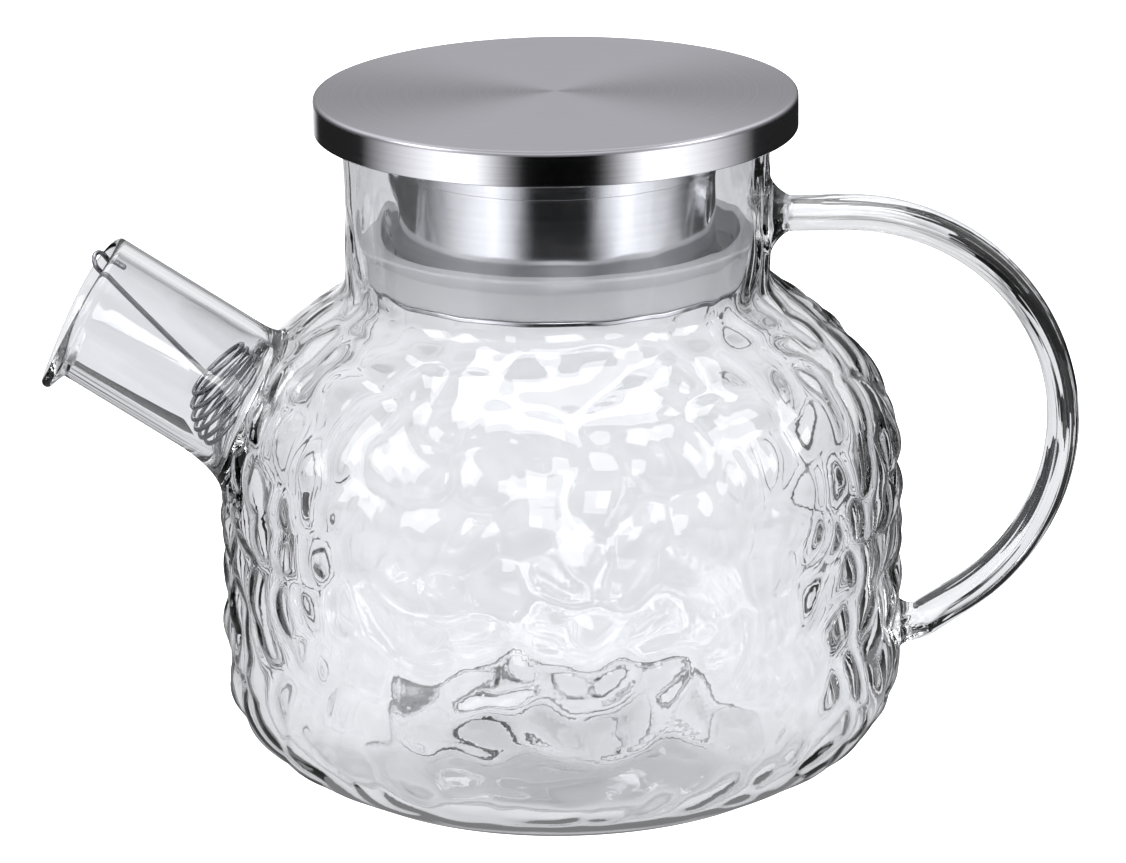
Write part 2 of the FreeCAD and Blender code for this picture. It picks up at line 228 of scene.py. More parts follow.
def hermite(start: Array, start_way: Array, end: Array, end_way: Array, steps: int) -> Array:
    """Cubic curves that leave one ring of points along start_way and reach another along end_way.

    Args:
        start: The first ring, one point per row.
        start_way: The curves' speed there.
        end: The last ring.
        end_way: The curves' speed there.
        steps: How many strips lie between the rings.

    Returns:
        Rings of points, steps + 1 of them.
    """
    t = np.linspace(0.0, 1.0, steps + 1)[:, None, None]
    leave = (2 * t ** 3 - 3 * t ** 2 + 1) * start + (t ** 3 - 2 * t ** 2 + t) * start_way
    return leave + (3 * t ** 2 - 2 * t ** 3) * end + (t ** 3 - t ** 2) * end_way


def straight(start: Array, end: Array, steps: int) -> Array:
    """Rings of points on straight lines from one ring to another."""
    t = np.linspace(0.0, 1.0, steps + 1)[:, None, None]
    return start + (end - start) * t


def to_pole(ring: Array) -> Array:
    """Rings that close a ring with a disc: straight lines to the middle of its points."""
    middle = np.broadcast_to(ring.mean(axis=0), ring.shape)
    return straight(ring, middle, SEAM_STEPS)


def capped(rings: Array) -> tuple[Array, list[int]]:
    """Closes a tube of rings with a fused disc at each end.

    Args:
        rings: Rings of points along the tube.

    Returns:
        The rings with the discs' own rings at both ends, and the strips' finishes.
    """
    grid = np.concatenate([to_pole(rings[0])[::-1], rings[1:], to_pole(rings[-1])[1:]])
    seam = [Zone.SECOND] * SEAM_STEPS
    return grid, seam + [Zone.MAIN] * (len(rings) - 1) + seam


class Skin:
    """A closed mesh gathered from grids of points, which are joined where they meet."""

    def __init__(self) -> None:
        """Starts with no grids."""
        self.points: list[Array] = []
        self.faces: list[Array] = []
        self.zones: list[Array] = []
        self.count = 0

    def add(self, grid: Array, zones: int | Sequence[int] = Zone.MAIN, keep: Array | None = None) -> None:
        """Adds a grid whose last column leads back to its first.

        Its faces look along (column direction) x (row direction).

        Args:
            grid: Points by row and column.
            zones: The finish of all its faces, or of each strip between two rows.
            keep: A mask of the cells that get a face; all of them if it isn't given.
        """
        rows, columns = grid.shape[:2]
        index = self.count + np.arange(rows * columns).reshape(rows, columns)
        beside = np.roll(index, -1, axis=1)
        cells = np.stack([index[:-1], beside[:-1], beside[1:], index[1:]], axis=2)
        marks = np.broadcast_to(np.asarray(zones, int).reshape(-1, 1), cells.shape[:2])
        chosen = np.ones(cells.shape[:2], bool) if keep is None else keep
        self.points.append(grid.reshape(-1, 3))
        self.faces.append(cells[chosen])
        self.zones.append(marks[chosen])
        self.count += rows * columns

    def mesh(self, name: str) -> Mesh:
        """Makes the mesh: equal points become one, and a cell with a lost side a triangle.

        Args:
            name: The mesh's name.

        Returns:
            The new mesh, smooth but for its sharp edges.
        """
        points = np.concatenate(self.points)
        keys = np.round(points / JOIN + JOIN_OFFSET).astype(np.int64)
        _, first, joined = np.unique(keys, axis=0, return_index=True, return_inverse=True)
        corners = joined.reshape(-1)[np.concatenate(self.faces)]
        real = corners != np.roll(corners, 1, axis=1)
        sides = real.sum(axis=1)
        solid = sides >= LEAST_SIDES
        starts = np.concatenate([[0], np.cumsum(sides[solid])])
        used, loops = np.unique(corners[solid][real[solid]], return_inverse=True)
        mesh = bpy.data.meshes.new(name)
        mesh.vertices.add(len(used))
        mesh.vertices.foreach_set("co", (points[first[used]] * MM).astype(np.float32).ravel())
        mesh.loops.add(len(loops))
        mesh.loops.foreach_set("vertex_index", loops.astype(np.int32))
        mesh.polygons.add(int(solid.sum()))
        mesh.polygons.foreach_set("loop_start", starts[:-1].astype(np.int32))
        mesh.polygons.foreach_set("material_index", np.concatenate(self.zones)[solid].astype(np.int32))
        mesh.polygons.foreach_set("use_smooth", np.ones(int(solid.sum()), bool))
        mesh.update(calc_edges=True)
        mesh.set_sharp_from_angle(angle=SHARP_ANGLE)
        return mesh

    def build(self, name: str, materials: Sequence[Material]) -> Object:
        """Makes the mesh object, and warns of edges that haven't two faces.

        Args:
            name: The piece's name.
            materials: The finishes, in the order of Zone.

        Returns:
            The new object, at the origin and in the scene.
        """
        mesh = self.mesh(name)
        for material in materials:
            mesh.materials.append(material)
        piece = bpy.data.objects.new(name, mesh)
        bpy.context.scene.collection.objects.link(piece)
        edges = np.empty(len(mesh.loops), np.int32)
        mesh.loops.foreach_get("edge_index", edges)
        loose = int((np.bincount(edges) != FACES_AT_EDGE).sum())
        if loose:
            LOG.warning("%s: %d open edges", name, loose)
        return piece


def settle(piece: Object, body: str, cad_node: str) -> None:
    """Lets a piece ride on its body and stand for its CAD node, which is hidden.

    Args:
        piece: The piece.
        body: The body's name.
        cad_node: The node's name.
    """
    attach(piece, body)
    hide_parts(cad_node)


def linear(colour: str) -> tuple[float, float, float, float]:
    """An sRGB hex colour as linear light, with full alpha.

    Args:
        colour: A hash and six hex digits.

    Returns:
        Red, green, blue and alpha.
    """
    shares = [int(colour[start : start + 2], 16) / BYTE for start in (1, 3, 5)]
    light = [s / SLOPE if s <= KNEE else ((s + LIFT) / (1 + LIFT)) ** POWER for s in shares]
    return (light[0], light[1], light[2], 1.0)


def node(tree: NodeTree, kind: str, inputs: dict | None = None, **settings: object) -> Node:
    """Adds a node, sets its properties, and gives its inputs values or links.

    Args:
        tree: The node tree.
        kind: The node's Blender type, without the ShaderNode that starts its name.
        inputs: Values, output sockets, or nodes for their first output, by the input's name or number;
            a tuple of names takes a row of them.
        settings: The node's own properties.

    Returns:
        The new node.
    """
    made = tree.nodes.new(f"ShaderNode{kind}")
    for name, value in settings.items():
        setattr(made, name, value)
    for names, values in (inputs or {}).items():
        for name, value in zip(names, values) if isinstance(names, tuple) else [(names, values)]:
            source = value.outputs[0] if isinstance(value, Node) else value
            if isinstance(source, NodeSocket):
                tree.links.new(source, made.inputs[name])
            else:
                made.inputs[name].default_value = source
    return made


@dataclass(frozen=True)
class Finish:
    """A surface finish with a name; each kind has its own shader."""

    name: str

    def shade(self, tree: NodeTree) -> Node:
        """Adds the shader's nodes and returns the shader."""
        raise NotImplementedError

    def material(self) -> Material:
        """Makes the Blender material.

        Returns:
            The new material.
        """
        made = bpy.data.materials.new(self.name)
        made.use_nodes = True
        tree = made.node_tree
        tree.nodes.clear()
        node(tree, "OutputMaterial", {"Surface": self.shade(tree)})
        return made


@dataclass(frozen=True)
class BlownGlass(Finish):
    """Borosilicate glass, blown and fire polished: clear, with soft waves from the mould."""

    tint: str = "#f7f8f9"
    ior: float = 1.47
    roughness: float = 0.0
    wave_mm: float = 9.0
    wave_depth: float = 0.03
    detail: float = 1.0

    def shade(self, tree: NodeTree) -> Node:
        """A clear refracting shader with a faint bump of long soft waves.

        Args:
            tree: The material's node tree.

        Returns:
            The shader.
        """
        where = node(tree, "TexCoord")
        waves = node(tree, "TexNoise", {
            "Vector": where.outputs["Object"], "Scale": 1 / (self.wave_mm * MM), "Detail": self.detail})
        bump = node(tree, "Bump", {
            "Height": waves, "Strength": 1.0, "Distance": self.wave_depth * MM})
        return node(tree, "BsdfPrincipled", {
            "Base Color": linear(self.tint), "Roughness": self.roughness, "IOR": self.ior,
            "Transmission Weight": 1.0, "Normal": bump})


@dataclass(frozen=True)
class FusedSeam(Finish):
    """Where two pieces of glass are melted into one: nothing shows, so light passes straight on."""

    def shade(self, tree: NodeTree) -> Node:
        """A shader with no substance."""
        return node(tree, "BsdfPrincipled", {"Alpha": 0.0, "Transmission Weight": 1.0})


@dataclass(frozen=True)
class SpunSteel(Finish):
    """Stainless steel with circular brushing: highlights spread across the rings into fans."""

    light: str = "#b9b8bd"
    dark: str = "#a6a5ab"
    roughness: float = 0.3
    spread: float = 0.72
    ring_mm: float = 0.55
    depth: float = 0.004
    detail: float = 4.0

    def shade(self, tree: NodeTree) -> Node:
        """Metal whose noise depends on the radius alone, rougher across the rings than along them.

        Args:
            tree: The material's node tree.

        Returns:
            The shader.
        """
        where = node(tree, "TexCoord")
        flat = node(tree, "VectorMath", {
            0: where.outputs["Object"], 1: (1.0, 1.0, 0.0)}, operation="MULTIPLY")
        radius = node(tree, "VectorMath", {0: flat}, operation="LENGTH")
        rings = node(tree, "TexNoise", {
            "W": radius.outputs["Value"], "Scale": 1 / (self.ring_mm * MM),
            "Detail": self.detail}, noise_dimensions="1D")
        colour = node(tree, "Mix", {
            0: rings, COLOUR_A: linear(self.dark), COLOUR_B: linear(self.light)}, data_type="RGBA")
        bump = node(tree, "Bump", {
            "Height": rings, "Strength": 1.0, "Distance": self.depth * MM})
        outward = node(tree, "VectorTransform", {
            0: flat}, vector_type="VECTOR", convert_from="OBJECT", convert_to="WORLD")
        return node(tree, "BsdfPrincipled", {
            "Base Color": colour.outputs[COLOUR], "Metallic": 1.0, "Roughness": self.roughness,
            "Anisotropic": self.spread, "Tangent": outward, "Normal": bump})


@dataclass(frozen=True)
class PolishedSteel(Finish):
    """Polished stainless steel: nearly a mirror, with faint marks of the polishing wheel round it."""

    colour: str = "#e4e4e7"
    worn: str = "#d3d3d7"
    roughness: float = 0.12
    gloss_range: tuple[float, float] = (0.7, 1.4)
    mark_mm: float = 0.4
    mark_length_mm: float = 50.0
    detail: float = 3.0

    def shade(self, tree: NodeTree) -> Node:
        """Metal with fine level marks in its colour and gloss.

        Args:
            tree: The material's node tree.

        Returns:
            The shader.
        """
        where = node(tree, "TexCoord")
        along, across = 1 / (self.mark_length_mm * MM), 1 / (self.mark_mm * MM)
        drawn = node(tree, "Mapping", {
            "Vector": where.outputs["Object"], "Scale": (along, along, across)})
        marks = node(tree, "TexNoise", {
            "Vector": drawn, "Scale": 1.0, "Detail": self.detail})
        colour = node(tree, "Mix", {
            0: marks, COLOUR_A: linear(self.worn), COLOUR_B: linear(self.colour)}, data_type="RGBA")
        gloss = node(tree, "MapRange", {
            "Value": marks, TO: [self.roughness * share for share in self.gloss_range]})
        return node(tree, "BsdfPrincipled", {
            "Base Color": colour.outputs[COLOUR], "Metallic": 1.0, "Roughness": gloss})


@dataclass(frozen=True)
class MilkySilicone(Finish):
    """Moulded translucent silicone: milky, soft in gloss, with a faint cloud and mould grain."""

    light: str = "#e8e8ea"
    dark: str = "#dcdcdf"
    roughness: float = 0.42
    ior: float = 1.41
    clear: float = 0.6
    scatter: float = 0.4
    scatter_mm: float = 3.0
    cloud_mm: float = 14.0
    grain_mm: float = 0.5
    grain_depth: float = 0.02
    grain_strength: float = 0.4
    detail: float = 2.0

    def shade(self, tree: NodeTree) -> Node:
        """A scattering plastic with a cloudy colour and a fine bump.

        Args:
            tree: The material's node tree.

        Returns:
            The shader.
        """
        where = node(tree, "TexCoord")
        cloud = node(tree, "TexNoise", {
            "Vector": where.outputs["Object"], "Scale": 1 / (self.cloud_mm * MM), "Detail": self.detail})
        grain = node(tree, "TexNoise", {
            "Vector": where.outputs["Object"], "Scale": 1 / (self.grain_mm * MM), "Detail": self.detail})
        colour = node(tree, "Mix", {
            0: cloud, COLOUR_A: linear(self.dark), COLOUR_B: linear(self.light)}, data_type="RGBA")
        bump = node(tree, "Bump", {
            "Height": grain, "Strength": self.grain_strength,
            "Distance": self.grain_depth * MM})
        return node(tree, "BsdfPrincipled", {
            "Base Color": colour.outputs[COLOUR], "Roughness": self.roughness, "IOR": self.ior,
            "Transmission Weight": self.clear, "Subsurface Weight": self.scatter,
            "Subsurface Scale": self.scatter_mm * MM, "Subsurface Radius": (1.0, 1.0, 1.0),
            "Normal": bump})


@dataclass(frozen=True)
class DrawnWire(Finish):
    """Stainless spring wire: bright, with short draw marks and a slightly greyer scale in places."""

    light: str = "#8c8c90"
    dark: str = "#5c5c60"
    roughness: float = 0.22
    gloss_range: tuple[float, float] = (0.6, 1.5)
    mark_mm: float = 1.2
    detail: float = 3.0

    def shade(self, tree: NodeTree) -> Node:
        """Metal with a speckled colour and gloss.

        Args:
            tree: The material's node tree.

        Returns:
            The shader.
        """
        where = node(tree, "TexCoord")
        marks = node(tree, "TexNoise", {
            "Vector": where.outputs["Object"], "Scale": 1 / (self.mark_mm * MM), "Detail": self.detail})
        colour = node(tree, "Mix", {
            0: marks, COLOUR_A: linear(self.dark), COLOUR_B: linear(self.light)}, data_type="RGBA")
        gloss = node(tree, "MapRange", {
            "Value": marks, TO: [self.roughness * share for share in self.gloss_range]})
        return node(tree, "BsdfPrincipled", {
            "Base Color": colour.outputs[COLOUR], "Metallic": 1.0, "Roughness": gloss})


@dataclass(frozen=True)
class MattPaper(Finish):
    """White studio paper: matt, with a share of its own glow, so that it stays an even white."""

    colour: str = "#f4f4f5"
    roughness: float = 0.9
    glow: float = 0.7

    def shade(self, tree: NodeTree) -> Node:
        """A matt shader that also glows."""
        return node(tree, "BsdfPrincipled", {
            "Base Color": linear(self.colour), "Roughness": self.roughness, "Specular IOR Level": 0.0,
            "Emission Color": linear(self.colour), "Emission Strength": self.glow})


@dataclass(frozen=True)
class BacklitPaper(Finish):
    """Backlit paper that only glass and steel show, in three patterns (metres and degrees).

    Rays straight through glass find it grey under the pot (painted shadow), white round it and darker to the
    horizon.
    Rays turned back inside one wall find dark beams round a pale foot: lines along the glass's edges.
    Rays off steel find it black in front, bright beside that, then fading, bright again to the left
    behind the pot, and dim near the foot.
    """

    colour: str = "#f8f8fb"
    near_y: float = -0.02
    near_width: float = 0.6
    near: tuple[float, float] = (0.0, 0.05)
    shadow_pool_glow: float = 0.5
    far: tuple[float, float] = (0.14, 1.0)
    far_glow: float = 0.7
    horizon: tuple[float, float] = (1.0, 2.5)
    horizon_glow: float = 0.5
    beams: float = 26.0
    beam_edge: tuple[float, float] = (-0.3, 0.05)
    beam_lean: tuple[float, float] = (0.6, 1.3)
    lean_reach: tuple[float, float] = (0.26, 0.36)
    beam_middle: tuple[float, float, float] = (-0.03, -0.05, 0.0)
    beam_glow: tuple[float, float] = (0.005, 0.9)
    beam_start: tuple[float, float] = (0.1, 0.16)
    front: float = 1.5
    rise: tuple[float, float] = (15.0, 48.0)
    fall: tuple[float, float] = (44.0, 102.0)
    steel_glow: float = 2.0
    steel_dim: float = 0.01
    back: tuple[float, float] = (-148.0, -168.0)
    back_glow: float = 1.1
    foot: tuple[float, float] = (0.1, 0.25)
    foot_glow: float = 0.22

    def for_glass(self, tree: NodeTree, where: NodeSocket) -> Node:
        """A glow that depends on the distance from the pot's axis.

        Args:
            tree: The material's node tree.
            where: The place on the paper.

        Returns:
            A node whose output is the glow.
        """
        away = node(tree, "VectorMath", {0: where}, operation="LENGTH").outputs["Value"]
        # The dim pool under the pot is a painted shadow of the pot: the glass itself throws none.
        pool = node(tree, "VectorMath", {
            0: where, 1: (self.near_width, 1.0, 0.0), 2: (0.0, -self.near_y, 0.0)}, operation="MULTIPLY_ADD")
        below = node(tree, "VectorMath", {0: pool}, operation="LENGTH").outputs["Value"]
        near = node(tree, "MapRange", {
            "Value": below, FROM: self.near, TO: (self.shadow_pool_glow, 1.0)}, interpolation_type="SMOOTHSTEP")
        far = node(tree, "MapRange", {"Value": away, FROM: self.far, TO: (1.0, self.far_glow)})
        horizon = node(tree, "MapRange", {
            "Value": away, FROM: self.horizon, TO: (1.0, self.horizon_glow)}, interpolation_type="SMOOTHSTEP")
        both = node(tree, "Math", {0: near, 1: far}, operation="MULTIPLY")
        return node(tree, "Math", {0: both, 1: horizon}, operation="MULTIPLY")

    def for_edges(self, tree: NodeTree, where: NodeSocket) -> Node:
        """Beams all round: a sine of the angle about the pot's axis, leaning to dark on the right.

        The sum is cut to dark and pale, shaded in front and left pale near the foot.

        Args:
            tree: The material's node tree.
            where: The place on the paper.

        Returns:
            A node whose output is the glow.
        """
        split = node(tree, "SeparateXYZ", {0: where})
        turn = node(tree, "Math", {0: split.outputs["X"], 1: split.outputs["Y"]}, operation="ARCTAN2")
        phase = node(tree, "Math", {0: turn, 1: self.beams}, operation="MULTIPLY")
        wave = node(tree, "Math", {0: phase}, operation="SINE")
        side = node(tree, "Math", {0: turn}, operation="SINE")
        away = node(tree, "VectorMath", {0: where}, operation="LENGTH").outputs["Value"]
        strength = node(tree, "MapRange", {
            "Value": away, FROM: self.lean_reach, TO: [-lean for lean in self.beam_lean]})
        lean = node(tree, "Math", {0: side, 1: strength, 2: wave}, operation="MULTIPLY_ADD")
        beams = node(tree, "MapRange", {
            "Value": lean, FROM: self.beam_edge, TO: self.beam_glow}, interpolation_type="SMOOTHSTEP")
        ahead = node(tree, "Math", {0: turn}, operation="COSINE")
        shade = node(tree, "MapRange", {
            "Value": ahead, FROM: [-math.cos(math.radians(degrees)) for degrees in self.rise]})
        shaded = node(tree, "Math", {0: beams, 1: shade}, operation="MULTIPLY")
        apart = node(tree, "VectorMath", {0: where, 1: self.beam_middle}, operation="DISTANCE")
        start = node(tree, "MapRange", {"Value": apart.outputs["Value"], FROM: self.beam_start})
        return node(tree, "Mix", {0: start, NUMBER_A: self.beam_glow[1], NUMBER_B: shaded}, data_type="FLOAT")

    def for_steel(self, tree: NodeTree, where: NodeSocket) -> Node:
        """A glow that depends on the angle from the front, and is dim near the foot.

        Args:
            tree: The material's node tree.
            where: The place on the paper.

        Returns:
            A node whose output is the glow.
        """
        split = node(tree, "SeparateXYZ", {0: where})
        front = node(tree, "Math", {0: split.outputs["Y"], 1: -1.0}, operation="MULTIPLY")
        turn = node(tree, "Math", {0: split.outputs["X"], 1: front}, operation="ARCTAN2")
        side = node(tree, "Math", {0: turn, 1: math.radians(self.front)}, operation="SUBTRACT")
        angle = node(tree, "Math", {0: side}, operation="ABSOLUTE")
        rise_from, fall_from, back_from = (
            [math.radians(degrees) for degrees in reach] for reach in (self.rise, self.fall, self.back))
        rise = node(tree, "MapRange", {
            "Value": angle, FROM: rise_from, TO: (0.0, self.steel_glow)}, interpolation_type="SMOOTHSTEP")
        fall = node(tree, "MapRange", {"Value": angle, FROM: fall_from, TO: (1.0, self.steel_dim)})
        back = node(tree, "MapRange", {
            "Value": side, FROM: back_from, TO: (0.0, self.back_glow)}, interpolation_type="SMOOTHSTEP")
        glow = node(tree, "Math", {0: rise, 1: fall, 2: back}, operation="MULTIPLY_ADD")
        away = node(tree, "VectorMath", {0: where}, operation="LENGTH").outputs["Value"]
        reach = node(tree, "MapRange", {"Value": away, FROM: self.foot})
        return node(tree, "Mix", {0: reach, NUMBER_A: self.foot_glow, NUMBER_B: glow}, data_type="FLOAT")

    def shade(self, tree: NodeTree) -> Node:
        """A glow chosen by the ray's way here: through glass, turned back in one wall, or off steel.

        Args:
            tree: The material's node tree.

        Returns:
            The shader.
        """
        where = node(tree, "TexCoord").outputs["Object"]
        turned_back = node(tree, "LightPath").outputs["Glossy Depth"]
        alone = one_wall(tree)
        on_edge = node(tree, "Math", {0: turned_back, 1: alone}, operation="MULTIPLY", use_clamp=True)
        off_steel = node(tree, "Math", {0: turned_back, 1: alone}, operation="SUBTRACT", use_clamp=True)
        glass = node(tree, "Mix", {
            0: on_edge, NUMBER_A: self.for_glass(tree, where),
            NUMBER_B: self.for_edges(tree, where)}, data_type="FLOAT")
        glow = node(tree, "Mix", {
            0: off_steel, NUMBER_A: glass, NUMBER_B: self.for_steel(tree, where)}, data_type="FLOAT")
        return node(tree, "Emission", {"Color": linear(self.colour), "Strength": glow})


def one_wall(tree: NodeTree) -> NodeSocket:
    """A socket that is 1 for a ray that went in and out of just one wall or rod of glass."""
    path = node(tree, "LightPath")
    return node(tree, "Math", {
        0: path.outputs["Transmission Depth"], 1: WALL_CROSSINGS, 2: COUNT_SLACK},
        operation="COMPARE").outputs[0]


class Through(Enum):
    """The glass through which a card is seen."""

    ROD = "one wall or rod"
    WALLS = "two walls or more"


@dataclass(frozen=True)
class BlackCard(Finish):
    """Matt card that rays find straight through glass of one kind; for all other rays it isn't there."""

    through: Through = Through.WALLS
    colour: str = "#060606"

    def shade(self, tree: NodeTree) -> Node:
        """A matt shader, mixed with nothing by the ray's way here.

        Args:
            tree: The material's node tree.

        Returns:
            The shader.
        """
        path = node(tree, "LightPath")
        chosen = one_wall(tree)
        if self.through is Through.WALLS:
            chosen = node(tree, "Math", {0: 1.0, 1: chosen}, operation="SUBTRACT").outputs[0]
        seen = node(tree, "Math", {
            0: chosen, 1: path.outputs["Glossy Depth"]}, operation="SUBTRACT", use_clamp=True)
        gone = node(tree, "BsdfTransparent")
        card = node(tree, "BsdfDiffuse", {"Color": linear(self.colour)})
        return node(tree, "MixShader", {0: seen, 1: gone, 2: card})


@dataclass(frozen=True)
class SpoutFrame:
    """The spout's own axes: along it, up across it and to the front."""

    tilt: float = 33.7
    root_x: float = -68.4
    axis_z: float = 79.8
    search: float = 16.0

    @property
    def reach(self) -> float:
        """A length along the axis that is sure to pass the wall."""
        return self.search / math.cos(math.radians(self.tilt))

    @property
    def base(self) -> Array:
        """Where the axis starts."""
        return np.array([self.root_x, 0.0, self.axis_z])

    @property
    def along(self) -> Array:
        """The axis direction, towards the mouth."""
        lean = math.radians(self.tilt)
        return np.array([-math.cos(lean), 0.0, math.sin(lean)])

    @property
    def up(self) -> Array:
        """The direction across the axis that leans up."""
        lean = math.radians(self.tilt)
        return np.array([math.sin(lean), 0.0, math.cos(lean)])

    @property
    def front(self) -> Array:
        """The level direction across the axis, towards the front."""
        return np.array([0.0, -1.0, 0.0])

    def outward(self, angle: Array) -> Array:
        """Directions away from the axis: front cos + up sin."""
        return np.cos(angle)[..., None] * self.front + np.sin(angle)[..., None] * self.up

    def point(self, along: Array, radius: Array, angle: Array) -> Array:
        """Points round the axis: base + along it + radius outward.

        Args:
            along: Distances along the axis.
            radius: Distances from it.
            angle: Angles round it.

        Returns:
            Points, one per angle.
        """
        reach = np.broadcast_to(np.asarray(radius, float), np.shape(angle))[..., None]
        run = np.broadcast_to(np.asarray(along, float), np.shape(angle))[..., None]
        return self.base + run * self.along + reach * self.outward(angle)

    def angles_of(self, points: Array) -> Array:
        """The angle of each point round the axis."""
        offset = points - self.base
        return np.arctan2(offset @ self.up, offset @ self.front)


@dataclass(frozen=True)
class Window:
    """A block of wall cells that a weld takes up, between two rows and two columns of the wall."""

    low: int
    high: int
    left: int
    right: int

    def ring(self) -> tuple[Array, Array]:
        """Rows and columns of its edge, from the lower left corner, anticlockwise from outside.

        Returns:
            The rows and the columns.
        """
        across = np.arange(self.left, self.right)
        back = np.arange(self.right, self.left, -1)
        step = 1 if self.high > self.low else -1
        rise = np.arange(self.low, self.high, step)
        fall = np.arange(self.high, self.low, -step)
        rows = [np.full_like(across, self.low), rise, np.full_like(back, self.high), fall]
        columns = [across, np.full_like(rise, self.right), back, np.full_like(fall, self.left)]
        return np.concatenate(rows), np.concatenate(columns)

    def clear(self, keep: Array) -> None:
        """Takes its cells out of the mask of wall cells."""
        keep[min(self.low, self.high) : max(self.low, self.high), self.left : self.right] = False


@dataclass
class Hammering:
    """The hammered relief: pillows at seeded places, with narrow valleys between them."""

    pitch: float = 10.2
    height: float = 0.95
    reach: float = 5.8
    sharpness: float = 0.6
    middle: float = 0.45
    scatter: float = 0.34
    warp: float = 1.8
    warp_length: float = 31.0
    sizes_between: tuple[float, float] = (0.7, 1.25)
    stagger: float = 0.5
    least_count: int = 3
    seed: int = 11
    block: int = 6000
    centres: Array = field(init=False, repr=False)
    sizes: Array = field(init=False, repr=False)

    def sow(self, radius: Array, height: Array, place: Array) -> None:
        """Places the pillows in staggered rings along a wall, each shifted by a share of the pitch.

        Args:
            radius: The wall's radius at each dense point.
            height: Its height there.
            place: Its running length there.
        """
        dice = np.random.default_rng(self.seed)
        centres = []
        for row, middle in enumerate(np.arange(self.pitch / 2, place[-1], self.pitch)):
            around = TURN * float(np.interp(middle, place, radius))
            count = max(self.least_count, round(around / self.pitch))
            shift = dice.uniform(-self.scatter, self.scatter, (2, count))
            angle = (np.arange(count) + self.stagger * (row % 2) + shift[0]) * TURN / count
            along = np.clip(middle + shift[1] * self.pitch, place[0], place[-1])
            wall_r, wall_z = (np.interp(along, place, column) for column in (radius, height))
            centres.append(about_axis(wall_r, angle, wall_z))
        self.centres = np.concatenate(centres)
        self.sizes = dice.uniform(*self.sizes_between, len(self.centres))

    def heights(self, points: Array) -> Array:
        """Relief at points of the smooth wall.

        The points are first shifted by slow sine waves, which bends the rows. Each pillow is
        size (1 - (distance / reach)^2), and all are averaged with weights that fall off as
        exp(-sharpness distance), so that the nearest one counts most.

        Args:
            points: Points of the smooth outer wall, in the last axis.

        Returns:
            The height of the relief at each point.
        """
        turn = points.reshape(-1, 3) * TURN / self.warp_length
        flat = points.reshape(-1, 3) + self.warp * np.sin(turn[:, [1, 2, 0]] + np.cos(turn[:, [2, 0, 1]]))
        centre_square = (self.centres ** 2).sum(axis=1)
        lifts = []
        for part in np.array_split(flat, max(1, len(flat) // self.block)):
            part_square = (part ** 2).sum(axis=1)[:, None]
            square = np.maximum(part_square + centre_square - 2 * part @ self.centres.T, 0.0)
            gap = np.sqrt(square)
            weight = np.exp(self.sharpness * (gap.min(axis=1, keepdims=True) - gap))
            pillow = self.sizes * (1 - square / self.reach ** 2)
            lifts.append((weight * pillow).sum(axis=1) / weight.sum(axis=1))
        return self.height * (np.concatenate(lifts) - self.middle).reshape(points.shape[:-1])


